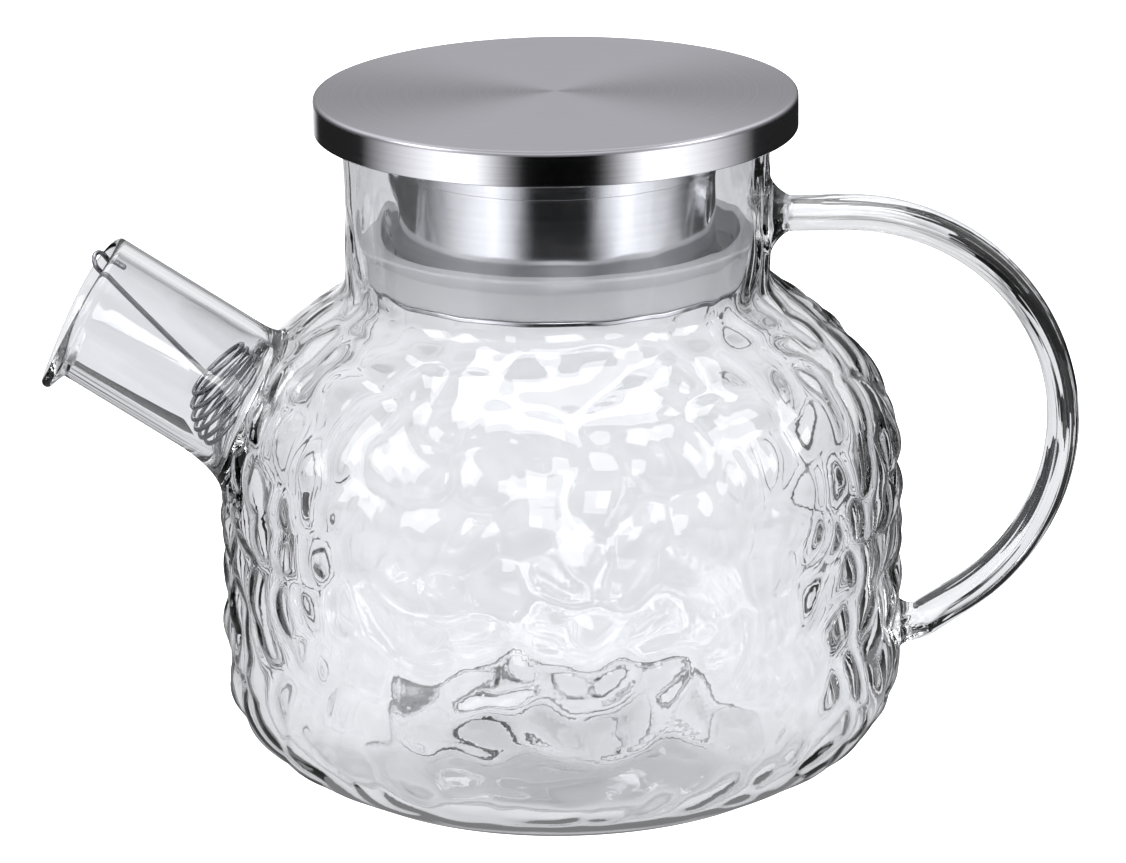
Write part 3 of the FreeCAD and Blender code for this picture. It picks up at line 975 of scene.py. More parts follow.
@dataclass
class PotBody:
    """The blown body: a turned wall with hammered relief, opened behind the spout."""

    wall: float = 2.7
    body_r: float = 68.4
    rest_inner_r: float = 42.0
    rest_outer_r: float = 46.0
    foot_edge_r: float = 8.0
    foot_slope: float = 28.0
    base_corner_r: float = 20.0
    punt_height: float = 2.5
    punt_bend_r: float = 6.0
    shoulder_start_z: float = 62.0
    shoulder_r: float = 36.0
    shoulder_slope: float = 38.0
    neck_r: float = 42.4
    neck_fillet_r: float = 4.0
    rim_z: float = 131.7
    columns: int = 360
    outer_step: float = 1.12
    inner_step: float = 1.7
    plain_step: float = 2.3
    rim_step: float = 0.55
    relief_z: tuple[float, ...] = (3.0, 14.0, 30.0, 62.0, 88.0, 98.0, 104.0, 131.0)
    relief_share: tuple[float, ...] = (0.0, 0.6, 1.0, 1.0, 0.8, 0.5, 0.25, 0.14)
    base_share: float = 0.3
    base_fade: tuple[float, float] = (27.0, 37.0)
    inner_share: float = 0.66
    weld_steps: int = 12
    hammering: Hammering = field(default_factory=Hammering)

    def __post_init__(self) -> None:
        """Works out the section's dense points and normals, and sows the relief."""
        rim = arc((self.neck_r - self.wall / 2, self.rim_z - self.wall / 2), self.wall / 2, 0, 180)
        line = evenly(np.concatenate([self.skin(0.0), rim, self.skin(self.wall)[::-1]]), FINE_STEP)
        way = unit(np.gradient(line, axis=0))
        self.line = line
        self.normal = np.stack([way[:, 1], -way[:, 0]], axis=1)
        self.place = running_length(line)
        self.top = int(np.argmax(line[:, 1]))
        wide = np.flatnonzero(line[:, 0] >= self.rest_outer_r)
        self.outer = slice(wide[0], self.top + 1)
        self.inner = slice(self.top, wide[-1] + 1)
        above = slice(0, self.top + 1)
        self.hammering.sow(line[above, 0], line[above, 1], self.place[above])
        self.angles = -TURN / 4 + round_angles(self.columns)
        self.rows = self.row_places()

    def skin(self, depth: float) -> Array:
        """Points (r, z) of the skin at a depth below the outer face, from the axis to under the rim.

        Args:
            depth: 0 for the outer face, the wall's thickness for the inner one.

        Returns:
            The points, one per row.
        """
        turn = math.degrees(math.acos(1 - self.punt_height / (2 * self.punt_bend_r)))
        punt_r = self.rest_inner_r - 2 * self.punt_bend_r * math.sin(math.radians(turn))
        foot = math.radians(self.foot_slope)
        corner_r = self.body_r - self.base_corner_r
        spare_r = self.base_corner_r - self.foot_edge_r
        run = corner_r + spare_r * math.sin(foot) - self.rest_outer_r
        corner_z = self.foot_edge_r + spare_r * math.cos(foot) + run * math.tan(foot)
        slope = math.radians(self.shoulder_slope)
        shoulder_r = self.body_r - self.shoulder_r
        fillet_r = self.neck_r + self.neck_fillet_r
        reach = self.shoulder_r + self.neck_fillet_r
        rise = (reach - (fillet_r - shoulder_r) * math.sin(slope)) / math.cos(slope)
        fillet_z = self.shoulder_start_z + rise
        return np.concatenate([
            [[0.0, self.punt_height + depth]],
            arc((punt_r, self.punt_height - self.punt_bend_r), self.punt_bend_r + depth, 90, 90 - turn),
            arc((self.rest_inner_r, self.punt_bend_r), self.punt_bend_r - depth, -90 - turn, -90),
            arc((self.rest_outer_r, self.foot_edge_r), self.foot_edge_r - depth, -90, self.foot_slope - 90),
            arc((corner_r, corner_z), self.base_corner_r - depth, self.foot_slope - 90, 0),
            arc((shoulder_r, self.shoulder_start_z), self.shoulder_r - depth, 0, 90 - self.shoulder_slope),
            arc((fillet_r, fillet_z), self.neck_fillet_r + depth, 270 - self.shoulder_slope, 180),
            [[self.neck_r - depth, self.rim_z - self.wall / 2]],
        ])

    def row_places(self) -> Array:
        """Running lengths of the mesh rows, closer together where the relief and the rim need it.

        Returns:
            The lengths, in order.
        """
        height = self.line[:, 1]
        is_outer = np.arange(len(height)) <= self.top
        hammered = (height > self.relief_z[0]) & (height < self.relief_z[-2])
        near_rim = height > self.rim_z - self.wall
        choices = [near_rim, hammered & is_outer, hammered]
        step = np.select(choices, [self.rim_step, self.outer_step, self.inner_step], self.plain_step)
        count = np.concatenate([[0.0], np.cumsum(np.diff(self.place) / step[1:])])
        return np.interp(np.linspace(0.0, count[-1], math.ceil(count[-1]) + 1), count, self.place)

    def at(self, place: Array) -> tuple[Array, Array, Array, Array]:
        """Radius, height and outward normal (r, z) of the section at running lengths.

        Args:
            place: The running lengths.

        Returns:
            The four values, each in the shape of the lengths.
        """
        columns = (*self.line.T, *self.normal.T)
        values = [np.interp(place, self.place, column) for column in columns]
        return values[0], values[1], values[2], values[3]

    def relief(self, angle: Array, place: Array) -> Array:
        """How far the wall stands out along its normal.

        The outer face has the hammering times a share that changes with height, and a shallower one
        under the base. The inner face follows the outer one by a part of it.

        Args:
            angle: Angles round the pot.
            place: Running lengths along the section.

        Returns:
            Heights along the outward normal.
        """
        radius, height, normal_r, normal_z = self.at(place)
        inside = place > self.place[self.top]
        depth = np.where(inside, self.wall, 0.0)
        outer_r, outer_z = radius - depth * normal_r, height - depth * normal_z
        share = np.interp(outer_z, self.relief_z, self.relief_share)
        fade = (outer_r - self.base_fade[0]) / (self.base_fade[1] - self.base_fade[0])
        share = share + np.where(outer_z < self.relief_z[0], self.base_share * (1 - smooth(fade)), 0.0)
        spots = about_axis(outer_r, angle, outer_z)
        return self.hammering.heights(spots) * share * np.where(inside, -self.inner_share, 1.0)

    def surface(self, angle: Array, place: Array, strength: Array | float = 1.0) -> Array:
        """Wall points: the section at its place, moved along its normal by the relief, turned about Z.

        Args:
            angle: Angles round the pot.
            place: Running lengths along the section.
            strength: The share of the relief that is kept.

        Returns:
            The points, in the last axis.
        """
        radius, height, normal_r, normal_z = self.at(place)
        lift = self.relief(angle, place) * strength
        return about_axis(radius + normal_r * lift, angle, height + normal_z * lift)

    def wall_normal(self, angle: Array, place: Array) -> Array:
        """Outward directions of the smooth wall."""
        _, _, normal_r, normal_z = self.at(place)
        return about_axis(normal_r, angle, normal_z)

    def place_at(self, height: Array, face: slice) -> Array:
        """Running lengths at heights on one face of the wall."""
        order = np.argsort(self.line[face, 1])
        return np.interp(height, self.line[face, 1][order], self.place[face][order])

    def angle_of(self, points: Array) -> Array:
        """The angle of points round the pot, counted on from the front seam of the columns."""
        angle = np.arctan2(points[..., 1], points[..., 0])
        return np.where(angle < -TURN / 4, angle + TURN, angle)

    def meet(self, spout: SpoutFrame, radius: Array | float, angle: Array, face: slice) -> Place:
        """Where lines beside the spout's axis go through a face of the wall, found by halving.

        Args:
            spout: The spout's axes.
            radius: Distance of the lines from the axis.
            angle: Their angles round it.
            face: The outer or the inner face.

        Returns:
            Angles round the pot and running lengths.
        """
        within = np.full(np.shape(angle), -2 * spout.reach)
        beyond = np.full(np.shape(angle), spout.reach)
        for _ in range(HALVINGS):
            middle = (within + beyond) / 2
            points = spout.point(middle, radius, angle)
            wall_r, _, _, _ = self.at(self.place_at(points[..., 2], face))
            out = np.hypot(points[..., 0], points[..., 1]) > wall_r
            within, beyond = np.where(out, within, middle), np.where(out, middle, beyond)
        points = spout.point(beyond, radius, angle)
        return self.angle_of(points), self.place_at(points[..., 2], face)

    def rings(self, start: Place, end: Place, strengths: tuple[float, float], steps: int) -> Array:
        """Rings of wall points between two rings given by angle and place, with the relief eased.

        Args:
            start: Angles and places of the first ring.
            end: Those of the last ring.
            strengths: The share of the relief at each of them.
            steps: How many strips lie between them.

        Returns:
            The rings, steps + 1 of them.
        """
        t = np.linspace(0.0, 1.0, steps + 1)[:, None]
        angle = start[0] + (end[0] - start[0]) * t
        place = start[1] + (end[1] - start[1]) * t
        return self.surface(angle, place, strengths[0] + (strengths[1] - strengths[0]) * smooth(t))

    def window(self, middle: float, half_columns: int, low_z: float, high_z: float, face: slice) -> Window:
        """The window round an angle, between the mesh rows nearest to two heights.

        Args:
            middle: The angle.
            half_columns: Columns on each side of it.
            low_z: The lower height.
            high_z: The upper height.
            face: The outer or the inner face.

        Returns:
            The window.
        """
        low, high = (int(np.argmin(np.abs(self.rows - self.place_at(z, face)))) for z in (low_z, high_z))
        column = round((middle - self.angles[0]) / TURN * self.columns)
        return Window(low, high, column - half_columns, column + half_columns)

    def edge(self, window: Window) -> Place:
        """Angles and places of a window's edge."""
        rows, columns = window.ring()
        return self.angles[columns], self.rows[rows]

    def flare(self, foot: Place, inward: Array, ring: Array, way: Array, weld: "Weld") -> Array:
        """A weld's flare: cubic curves that leave the wall along it and reach a ring along a way.

        Args:
            foot: Angles and places where it leaves the wall.
            inward: Directions from there towards its middle.
            ring: The ring that it reaches.
            way: The direction in which it gets there.
            weld: Its speeds and steps.

        Returns:
            Rings of points from the foot to the ring.
        """
        start = self.surface(*foot, 0.0)
        normal = self.wall_normal(*foot)
        slide = unit(inward - (inward * normal).sum(axis=1, keepdims=True) * normal)
        span = np.linalg.norm(ring - start, axis=1, keepdims=True)
        return hermite(start, slide * span * weld.foot_speed, ring, way * span * weld.end_speed, weld.steps)

    def build(self, spout: "Spout", handle: "Handle", materials: Sequence[Material]) -> None:
        """Makes the wall with its windows, and fills each with its weld's own faces.

        Args:
            spout: The spout that it carries.
            handle: The handle that it carries.
            materials: Glass and fused seam.
        """
        angle, place = np.meshgrid(self.angles, self.rows)
        keep = np.ones((len(self.rows) - 1, self.columns), bool)
        for window in (*spout.weld_to(self), handle.upper.weld_to(self), handle.lower.weld_to(self)):
            window.clear(keep)
        skin = Skin()
        skin.add(self.surface(angle, place), Zone.MAIN, keep)
        for grid, zones in (spout.sleeve(self), handle.upper.patch(self), handle.lower.patch(self)):
            skin.add(grid, zones)
        settle(skin.build("glass_body", materials), "pot", "pot_body")


@dataclass(frozen=True)
class Weld:
    """How a weld's flare runs: its speeds at the foot and at its end, and its steps."""

    foot_speed: float
    end_speed: float
    steps: int = 14


@dataclass
class Spout:
    """The spout: a straight tube with a flared weld at its root and a lip turned down at its mouth."""

    frame: SpoutFrame = field(default_factory=SpoutFrame)
    length: float = 32.3
    radius: float = 14.8
    wall: float = 2.3
    weld_end: float = 1.1
    foot_top_r: float = 16.4
    foot_low_r: float = 18.8
    weld: Weld = Weld(foot_speed=0.8, end_speed=1.1)
    lip_flare: float = 4.0
    lip_run: float = 5.0
    lip_setback: float = 1.9
    lip_bulge: float = 1.3
    window_columns: int = 22
    window_z: tuple[float, float] = (51.0, 97.5)
    inner_window_z: tuple[float, float] = (52.0, 95.0)
    tube_steps: int = 16
    lip_steps: int = 9

    @property
    def bore_r(self) -> float:
        """The tube's inner radius."""
        return self.radius - self.wall

    def weld_to(self, pot: PotBody) -> tuple[Window, Window]:
        """Finds the weld's loops on the wall, and the two windows of wall cells that it takes up.

        Args:
            pot: The body that carries the spout.

        Returns:
            The window in the outer face and the one in the inner face, with edges of the same count.
        """
        outer = pot.window(TURN / 2, self.window_columns, *self.window_z, pot.outer)
        inner = pot.window(TURN / 2, self.window_columns, *self.inner_window_z, pot.inner)
        tall, short = outer.high - outer.low, inner.low - inner.high
        spare = tall - short
        if spare % 2:
            inner = Window(inner.low, inner.high + 1, inner.left, inner.right)
            spare += 1
        inner = Window(inner.low, inner.high, inner.left - spare // 2, inner.right + spare // 2)
        self.edge = pot.edge(outer)
        inner_angle, inner_place = pot.edge(inner)
        self.inner_edge = np.roll(inner_angle, -(spare // 2)), np.roll(inner_place, -(spare // 2))
        self.angle = self.frame.angles_of(pot.surface(*self.edge))
        low_share = (1 - np.sin(self.angle)) / 2
        foot_r = self.foot_top_r + (self.foot_low_r - self.foot_top_r) * low_share
        self.foot = pot.meet(self.frame, foot_r, self.angle, pot.outer)
        self.hole = pot.meet(self.frame, self.bore_r, self.angle, pot.outer)
        self.inner_hole = pot.meet(self.frame, self.bore_r, self.angle, pot.inner)
        return outer, inner

    def sleeve(self, pot: PotBody) -> tuple[Array, list[int]]:
        """The pot's own faces at the weld: wall, fused ring, hole and inner wall.

        Args:
            pot: The body that carries the spout.

        Returns:
            Rings of points from the outer window's edge to the inner one's, and the strips' finishes.
        """
        steps = pot.weld_steps
        through = straight(pot.surface(*self.hole, 0.0), pot.surface(*self.inner_hole, 0.0), SEAM_STEPS)
        grid = np.concatenate([
            pot.rings(self.edge, self.foot, (1.0, 0.0), steps),
            pot.rings(self.foot, self.hole, (0.0, 0.0), SEAM_STEPS)[1:],
            through[1:],
            pot.rings(self.inner_hole, self.inner_edge, (0.0, 1.0), steps)[1:],
        ])
        seam = [Zone.SECOND] * SEAM_STEPS
        return grid, [Zone.MAIN] * steps + seam + [Zone.MAIN] * (SEAM_STEPS + steps)

    def mouth(self) -> Array:
        """How far along the axis the mouth reaches at each angle: set back below, bulging at its sides."""
        rise = np.sin(self.angle)
        return self.length - self.lip_setback * (1 - rise) / 2 + self.lip_bulge * (1 - rise ** 2)

    def lip(self, share: Array, side: Array | float, ahead: Array | float = 0.0) -> Array:
        """Rings of the lip about its middle skin, with a wall of even thickness.

        The middle skin's radius grows by the flare, times the square of how far down the angle points,
        times the share squared. A ring lies half a wall away: side times along the skin's normal and
        ahead times along the skin itself.

        Args:
            share: How far along the lip each ring is, from 0 to 1.
            side: From 1 on the outer face to -1 on the inner one.
            ahead: How far beyond the skin's end, for the rounded rim.

        Returns:
            Rings of points.
        """
        t = np.asarray(share, float)[:, None]
        start = self.length - self.lip_run
        flare = self.lip_flare * ((1 - np.sin(self.angle)) / 2) ** 2
        run = self.mouth() - self.wall / 2 - start
        slope = np.stack(np.broadcast_arrays(run, 2 * flare * t), axis=-1)
        slope = unit(slope) * self.wall / 2
        along = start + run * t - side * slope[..., 1] + ahead * slope[..., 0]
        radius = self.radius - self.wall / 2 + flare * t ** 2 + side * slope[..., 0] + ahead * slope[..., 1]
        return self.frame.point(along, radius, np.broadcast_to(self.angle, radius.shape))

    def rim(self) -> Array:
        """Rings of the fire-rounded rim: half a circle from the lip's outer face to its inner one."""
        turn = np.linspace(0.0, math.pi, self.lip_steps + 1)[:, None]
        return self.lip(np.ones(len(turn)), np.cos(turn), np.sin(turn))

    def build(self, pot: PotBody, materials: Sequence[Material]) -> None:
        """Makes the spout as one closed skin: flare, tube, lip, rim, bore and the fused ring.

        Args:
            pot: The body that carries the spout.
            materials: Glass and fused seam.
        """
        root = self.frame.point(self.weld_end, self.radius, self.angle)
        flare = pot.flare(self.foot, -self.frame.outward(self.angle), root, self.frame.along, self.weld)
        lip_start = self.length - self.lip_run
        outer, inner = (self.frame.point(lip_start, r, self.angle) for r in (self.radius, self.bore_r))
        shares = np.linspace(0.0, 1.0, self.lip_steps + 1)
        runs = (
            flare,
            straight(root, outer, self.tube_steps)[1:],
            self.lip(shares, 1.0)[1:],
            self.rim()[1:],
            self.lip(shares[::-1], -1.0)[1:],
            straight(inner, pot.surface(*self.hole, 0.0), self.tube_steps)[1:],
            pot.rings(self.hole, self.foot, (0.0, 0.0), SEAM_STEPS)[1:],
        )
        grid = np.concatenate(runs)
        plain = len(grid) - 1 - SEAM_STEPS
        skin = Skin()
        skin.add(grid, [Zone.MAIN] * plain + [Zone.SECOND] * SEAM_STEPS)
        settle(skin.build("glass_spout", materials), "pot", "spout")


@dataclass
class RootWeld:
    """A weld of the handle: an oval foot on the wall that narrows to the rod's oval end."""

    name: str
    cad_node: str
    middle_z: float
    half_wide: float
    half_tall: float
    window_columns: int
    window_z: tuple[float, float]
    weld: Weld = Weld(foot_speed=0.8, end_speed=0.9)
    streak_counts: tuple[int, ...] = (5, 9, 14)
    streak_depth: float = 0.13
    streak_twist: float = 0.5

    def weld_to(self, pot: PotBody) -> Window:
        """Finds the foot's oval on the wall: y = wide cos, z = middle + tall sin.

        Args:
            pot: The body that carries it.

        Returns:
            The window of wall cells that it takes up.
        """
        window = pot.window(0.0, self.window_columns, *self.window_z, pot.outer)
        self.edge = pot.edge(window)
        near = pot.surface(*self.edge)
        self.angle = np.arctan2(near[:, 2] - self.middle_z, near[:, 1])
        across = self.half_wide * np.cos(self.angle)
        place = pot.place_at(self.middle_z + self.half_tall * np.sin(self.angle), pot.outer)
        radius, _, _, _ = pot.at(place)
        self.foot = np.arcsin(across / radius), place
        return window

    def patch(self, pot: PotBody) -> tuple[Array, list[int]]:
        """The pot's own faces at the weld: wall up to the foot, then the fused disc.

        Args:
            pot: The body that carries it.

        Returns:
            Rings of points from the window's edge to the middle, and the strips' finishes.
        """
        wall = pot.rings(self.edge, self.foot, (1.0, 0.0), pot.weld_steps)
        grid = np.concatenate([wall, to_pole(wall[-1])[1:]])
        return grid, [Zone.MAIN] * pot.weld_steps + [Zone.SECOND] * SEAM_STEPS

    def streaks(self) -> Array:
        """Heights of the streaks drawn into the weld: a few twisted waves, times 4 t (1 - t).

        Returns:
            Heights by ring and angle, with none at the first and last ring.
        """
        t = np.linspace(0.0, 1.0, self.weld.steps + 1)[:, None]
        waves = [np.sin(count * (self.angle + self.streak_twist * t) + count) for count in self.streak_counts]
        return self.streak_depth * np.sum(waves, axis=0) * 4 * t * (1 - t)

    def build(self, pot: PotBody, end: "RodEnd", materials: Sequence[Material]) -> None:
        """Makes the weld as one closed skin: fused disc, flare and the disc against the rod.

        Args:
            pot: The body that carries it.
            end: The rod's end that it meets.
            materials: Glass and fused seam.
        """
        inward = -np.stack([np.zeros_like(self.angle), np.cos(self.angle), np.sin(self.angle)], axis=1)
        flare = pot.flare(self.foot, inward, end.ring(self.angle), end.way, self.weld)
        skin = Skin()
        skin.add(*capped(flare - self.streaks()[..., None] * inward))
        settle(skin.build(self.name, materials), "pot", self.cad_node)


@dataclass(frozen=True)
class RodEnd:
    """One end of the handle's rod: its middle, the way out of the weld and its half sizes."""

    middle: Array
    way: Array
    half_wide: float
    half_deep: float

    def ring(self, angle: Array) -> Array:
        """The oval end: middle + wide cos along Y + deep sin across.

        Args:
            angle: Angles round the oval.

        Returns:
            Points, one per angle.
        """
        side = np.cross(self.way, LEVEL)
        across = np.cos(angle)[:, None] * self.half_wide * LEVEL
        return self.middle + across + np.sin(angle)[:, None] * self.half_deep * side


@dataclass
class Handle:
    """The handle: a drawn glass rod, bent round, with a weld at each end."""

    start_x: float = 46.65
    top_z: float = 113.4
    bend_x: float = 57.4
    bend_r: float = 43.7
    bend_end: float = -57.0
    end_x: float = 73.2
    wide: float = 9.4
    deep_share: tuple[float, ...] = (0.0, 0.14, 0.5, 0.8, 1.0)
    deep: tuple[float, ...] = (7.0, 7.2, 6.2, 6.7, 7.4)
    station_step: float = 0.9
    sides: int = 128
    flute_counts: tuple[int, ...] = (7, 11, 17, 26)
    flute_depths: tuple[float, ...] = (0.06, 0.045, 0.03, 0.018)
    flute_twist: float = 0.5
    flute_fade: float = 0.08
    upper: RootWeld = field(default_factory=lambda: RootWeld(
        "glass_upper_weld", "handle_upper_root", middle_z=113.4, half_wide=9.7, half_tall=8.2,
        window_columns=17, window_z=(101.5, 125.0)))
    lower: RootWeld = field(default_factory=lambda: RootWeld(
        "glass_lower_weld", "handle_lower_root", middle_z=26.9, half_wide=6.7, half_tall=5.2,
        window_columns=9, window_z=(18.5, 35.5)))

    def route(self) -> Array:
        """The rod's middle line (x, z): a level run, a round bend and a straight run to the lower weld.

        Returns:
            The points, evenly spread.
        """
        bend = arc((self.bend_x, self.top_z - self.bend_r), self.bend_r, 90, self.bend_end)
        down = math.radians(self.bend_end - 90)
        run = (self.end_x - bend[-1, 0]) / math.cos(down)
        last = bend[-1] + run * np.array([math.cos(down), math.sin(down)])
        return evenly(np.concatenate([[[self.start_x, self.top_z]], bend, [last]]), self.station_step)

    def half_deep(self, share: Array) -> Array:
        """Half the rod's depth along its length, interpolated between the given depths."""
        return np.interp(share, self.deep_share, self.deep) / 2

    def ends(self) -> tuple[RodEnd, RodEnd]:
        """The rod's upper and lower ends.

        Returns:
            The upper end and the lower one.
        """
        line = self.route()
        found = []
        for here, inner, share in ((line[0], line[1], 0.0), (line[-1], line[-2], 1.0)):
            way = unit(inner - here)
            found.append(RodEnd(
                np.array([here[0], 0.0, here[1]]), np.array([way[0], 0.0, way[1]]),
                self.wide / 2, float(self.half_deep(np.array(share)))))
        return found[0], found[1]

    def build(self, pot: PotBody, materials: Sequence[Material]) -> None:
        """Makes both welds and the rod.

        Args:
            pot: The body that carries them.
            materials: Glass and fused seam.
        """
        for weld, end in zip((self.upper, self.lower), self.ends()):
            weld.build(pot, end, materials)
        self.build_rod(materials)

    def build_rod(self, materials: Sequence[Material]) -> None:
        """Makes the rod: ovals square to the route, fluted by a few waves that twist slowly along it.

        Args:
            materials: Glass and fused seam.
        """
        line = self.route()
        way = unit(np.gradient(line, axis=0))
        share = running_length(line) / running_length(line)[-1]
        angle = round_angles(self.sides)[None, :]
        twist = self.flute_twist * share[:, None]
        waves = [
            depth * np.sin(count * (angle + twist) + count)
            for count, depth in zip(self.flute_counts, self.flute_depths)
        ]
        calm = smooth(share / self.flute_fade) * smooth((1 - share) / self.flute_fade)
        flute = np.sum(waves, axis=0) * calm[:, None]
        wide = (self.wide / 2 + flute) * np.cos(angle)
        deep = (self.half_deep(share)[:, None] + flute) * np.sin(angle)
        x = line[:, :1] - way[:, 1:] * deep
        z = line[:, 1:] + way[:, :1] * deep
        rings = np.stack([x, wide, z], axis=2)
        skin = Skin()
        skin.add(*capped(rings))
        settle(skin.build("glass_handle", materials), "pot", "handle")


@dataclass
class Lid:
    """The steel lid: a drawn cap with a spun top and a polished skirt, closed below by a plate."""

    seat_z: float = 132.0
    height: float = 6.9
    radius: float = 48.0
    edge_r: float = 0.9
    bend_r: float = 0.3
    sheet: float = 0.8
    hem: float = 0.25
    plate_fit: float = 0.05
    crown: float = 0.12
    segments: int = 320
    top_rings: int = 24

    def cap(self) -> tuple[Array, Array]:
        """The cap's outline (r, z), from under its top round the skirt to a slightly domed top.

        Returns:
            The outline's points, and the finish of each strip between them.
        """
        high = self.seat_z + self.height
        inner = self.radius - self.sheet
        corners = [
            (0.0, high - self.sheet), (inner, high - self.sheet), (inner, self.seat_z),
            (self.radius, self.seat_z), (self.radius, high), (0.0, high),
        ]
        outline = rounded(corners, (0.0, self.bend_r, self.hem, self.hem, self.edge_r, 0.0), False)
        face = np.linspace(1.0, 0.0, self.top_rings + 1)[1:, None]
        dome = np.concatenate([outline[-2, 0] * face, high + self.crown * (1 - face ** 2)], axis=1)
        outline = np.concatenate([outline[:-1], dome])
        return outline, np.where(outline[1:, 1] > high - self.edge_r, Zone.MAIN, Zone.SECOND)

    def plate(self) -> Array:
        """The plate's outline (r, z): a flat disc with rounded edges.

        Returns:
            The outline's points.
        """
        reach, high = self.radius - self.sheet - self.plate_fit, self.seat_z + self.sheet
        corners = [(0.0, self.seat_z), (reach, self.seat_z), (reach, high), (0.0, high)]
        return rounded(corners, (0.0, self.hem, self.hem, 0.0), False)

    def build(self, top: Material, side: Material) -> None:
        """Makes the cap and the plate, each as an outline turned about Z.

        Args:
            top: The spun finish.
            side: The polished finish.
        """
        angles = round_angles(self.segments)
        outline, zones = self.cap()
        skin = Skin()
        skin.add(turned(outline, angles), zones)
        settle(skin.build("lid_cap_steel", [top, side]), "lid", "lid_cap")
        skin = Skin()
        skin.add(turned(self.plate(), angles))
        settle(skin.build("lid_plate_steel", [side]), "lid", "lid_base_plate")


@dataclass
class Collar:
    """The strainer collar: a polished tube with a band above, a flange below and a drilled patch."""

    top_z: float = 132.0
    radius: float = 32.1
    wall: float = 0.6
    length: float = 30.6
    band_length: float = 6.4
    band_rise: float = 0.5
    flange_r: float = 36.9
    flange_thick: float = 0.9
    edge: float = 0.2
    hole_d: float = 1.6
    pitch: float = 3.5
    hole_columns: int = 5
    hole_rows: int = 5
    lowest_holes: float = 7.5
    cell_steps: int = 8
    ring_steps: int = 3
    other_columns: int = 240

    def columns(self) -> Array:
        """Angles round the collar: fine columns over the drilled patch, opposite +X, then even ones.

        Returns:
            The angles, in order.
        """
        half = self.pitch * self.hole_columns / 2 / self.radius
        fine = np.linspace(-half, half, self.hole_columns * self.cell_steps + 1)
        rest = np.linspace(half, TURN - half, self.other_columns + 1)
        return TURN / 2 + np.concatenate([fine, rest[1:-1]])

    def levels(self) -> Array:
        """Heights of the fine rows over the drilled patch, from below."""
        low = self.top_z - self.length + self.lowest_holes - self.pitch / 2
        return low + np.arange(self.hole_rows * self.cell_steps + 1) * self.pitch / self.cell_steps

    def outline(self) -> tuple[Array, int, int]:
        """The closed outline (r, z), and the first patch row on the outer and on the inner face.

        Returns:
            The points, the outer row and the inner row.
        """
        low = self.top_z - self.length
        inner = self.radius - self.wall
        band_z = self.top_z - self.band_length
        levels = self.levels()
        outer_face = np.stack([np.full_like(levels, self.radius), levels], axis=1)
        inner_face = np.stack([np.full_like(levels, inner), levels[::-1]], axis=1)
        edge = self.edge
        below = rounded(
            [(inner, levels[0]), (inner, low), (self.flange_r, low), (self.flange_r, low + self.flange_thick),
             (self.radius, low + self.flange_thick), (self.radius, levels[0])],
            (0.0, edge, edge, edge, edge, 0.0), False)[1:-1]
        above = rounded(
            [(self.radius, levels[-1]), (self.radius, band_z), (self.radius + self.band_rise, band_z),
             (self.radius + self.band_rise, self.top_z), (inner, self.top_z), (inner, levels[-1])],
            (0.0, edge / 2, edge, edge, edge, 0.0), False)[1:-1]
        parts = [below, outer_face, above, inner_face, below[:1]]
        return np.concatenate(parts), len(below), len(below) + len(outer_face) + len(above)

    def hole(self, row: int, column: int, outer: Array, inner: Array) -> Array:
        """One drilled hole: rings from the outer cell's edge to a circle, through the wall, and back out.

        Args:
            row: The hole's row, from below.
            column: The hole's column.
            outer: Points of the patch on the outer face, by level and column.
            inner: The same on the inner face, in the same order of levels.

        Returns:
            Rings of points.
        """
        half_cell = self.cell_steps // 2
        left = column * self.cell_steps + (half_cell if row % 2 else 0)
        cell = Window(row * self.cell_steps, (row + 1) * self.cell_steps, left, left + self.cell_steps)
        rows, columns = cell.ring()
        across = (columns - left - half_cell) * self.pitch / self.cell_steps
        upward = (rows - cell.low - half_cell) * self.pitch / self.cell_steps
        angle = np.arctan2(upward, across)
        level = self.levels()[cell.low + half_cell] + self.hole_d / 2 * np.sin(angle)
        turn = self.columns()[left + half_cell] + self.hole_d / 2 * np.cos(angle) / self.radius
        lips = [about_axis(r, turn, level) for r in (self.radius, self.radius - self.wall)]
        return np.concatenate([
            straight(outer[rows, columns], lips[0], self.ring_steps), lips[1][None],
            straight(lips[1], inner[rows, columns], self.ring_steps)[1:],
        ])

    def build(self, material: Material) -> None:
        """Makes the collar as a turned outline, with real holes set into the patch.

        Args:
            material: The polished finish.
        """
        outline, outer_row, inner_row = self.outline()
        grid = turned(outline, self.columns())
        fine = self.hole_rows * self.cell_steps
        outer = grid[outer_row : outer_row + fine + 1]
        inner = grid[inner_row : inner_row + fine + 1][::-1]
        keep = np.ones((len(grid) - 1, grid.shape[1]), bool)
        skin = Skin()
        for row in range(self.hole_rows):
            for column in range(self.hole_columns - row % 2):
                left = column * self.cell_steps + (self.cell_steps // 2 if row % 2 else 0)
                low = row * self.cell_steps
                right = left + self.cell_steps
                keep[outer_row + low : outer_row + low + self.cell_steps, left:right] = False
                mirrored = inner_row + fine - low
                keep[mirrored - self.cell_steps : mirrored, left:right] = False
                skin.add(self.hole(row, column, outer, inner))
        skin.add(grid, Zone.MAIN, keep)
        settle(skin.build("collar_steel", [material]), "lid", "strainer_collar")


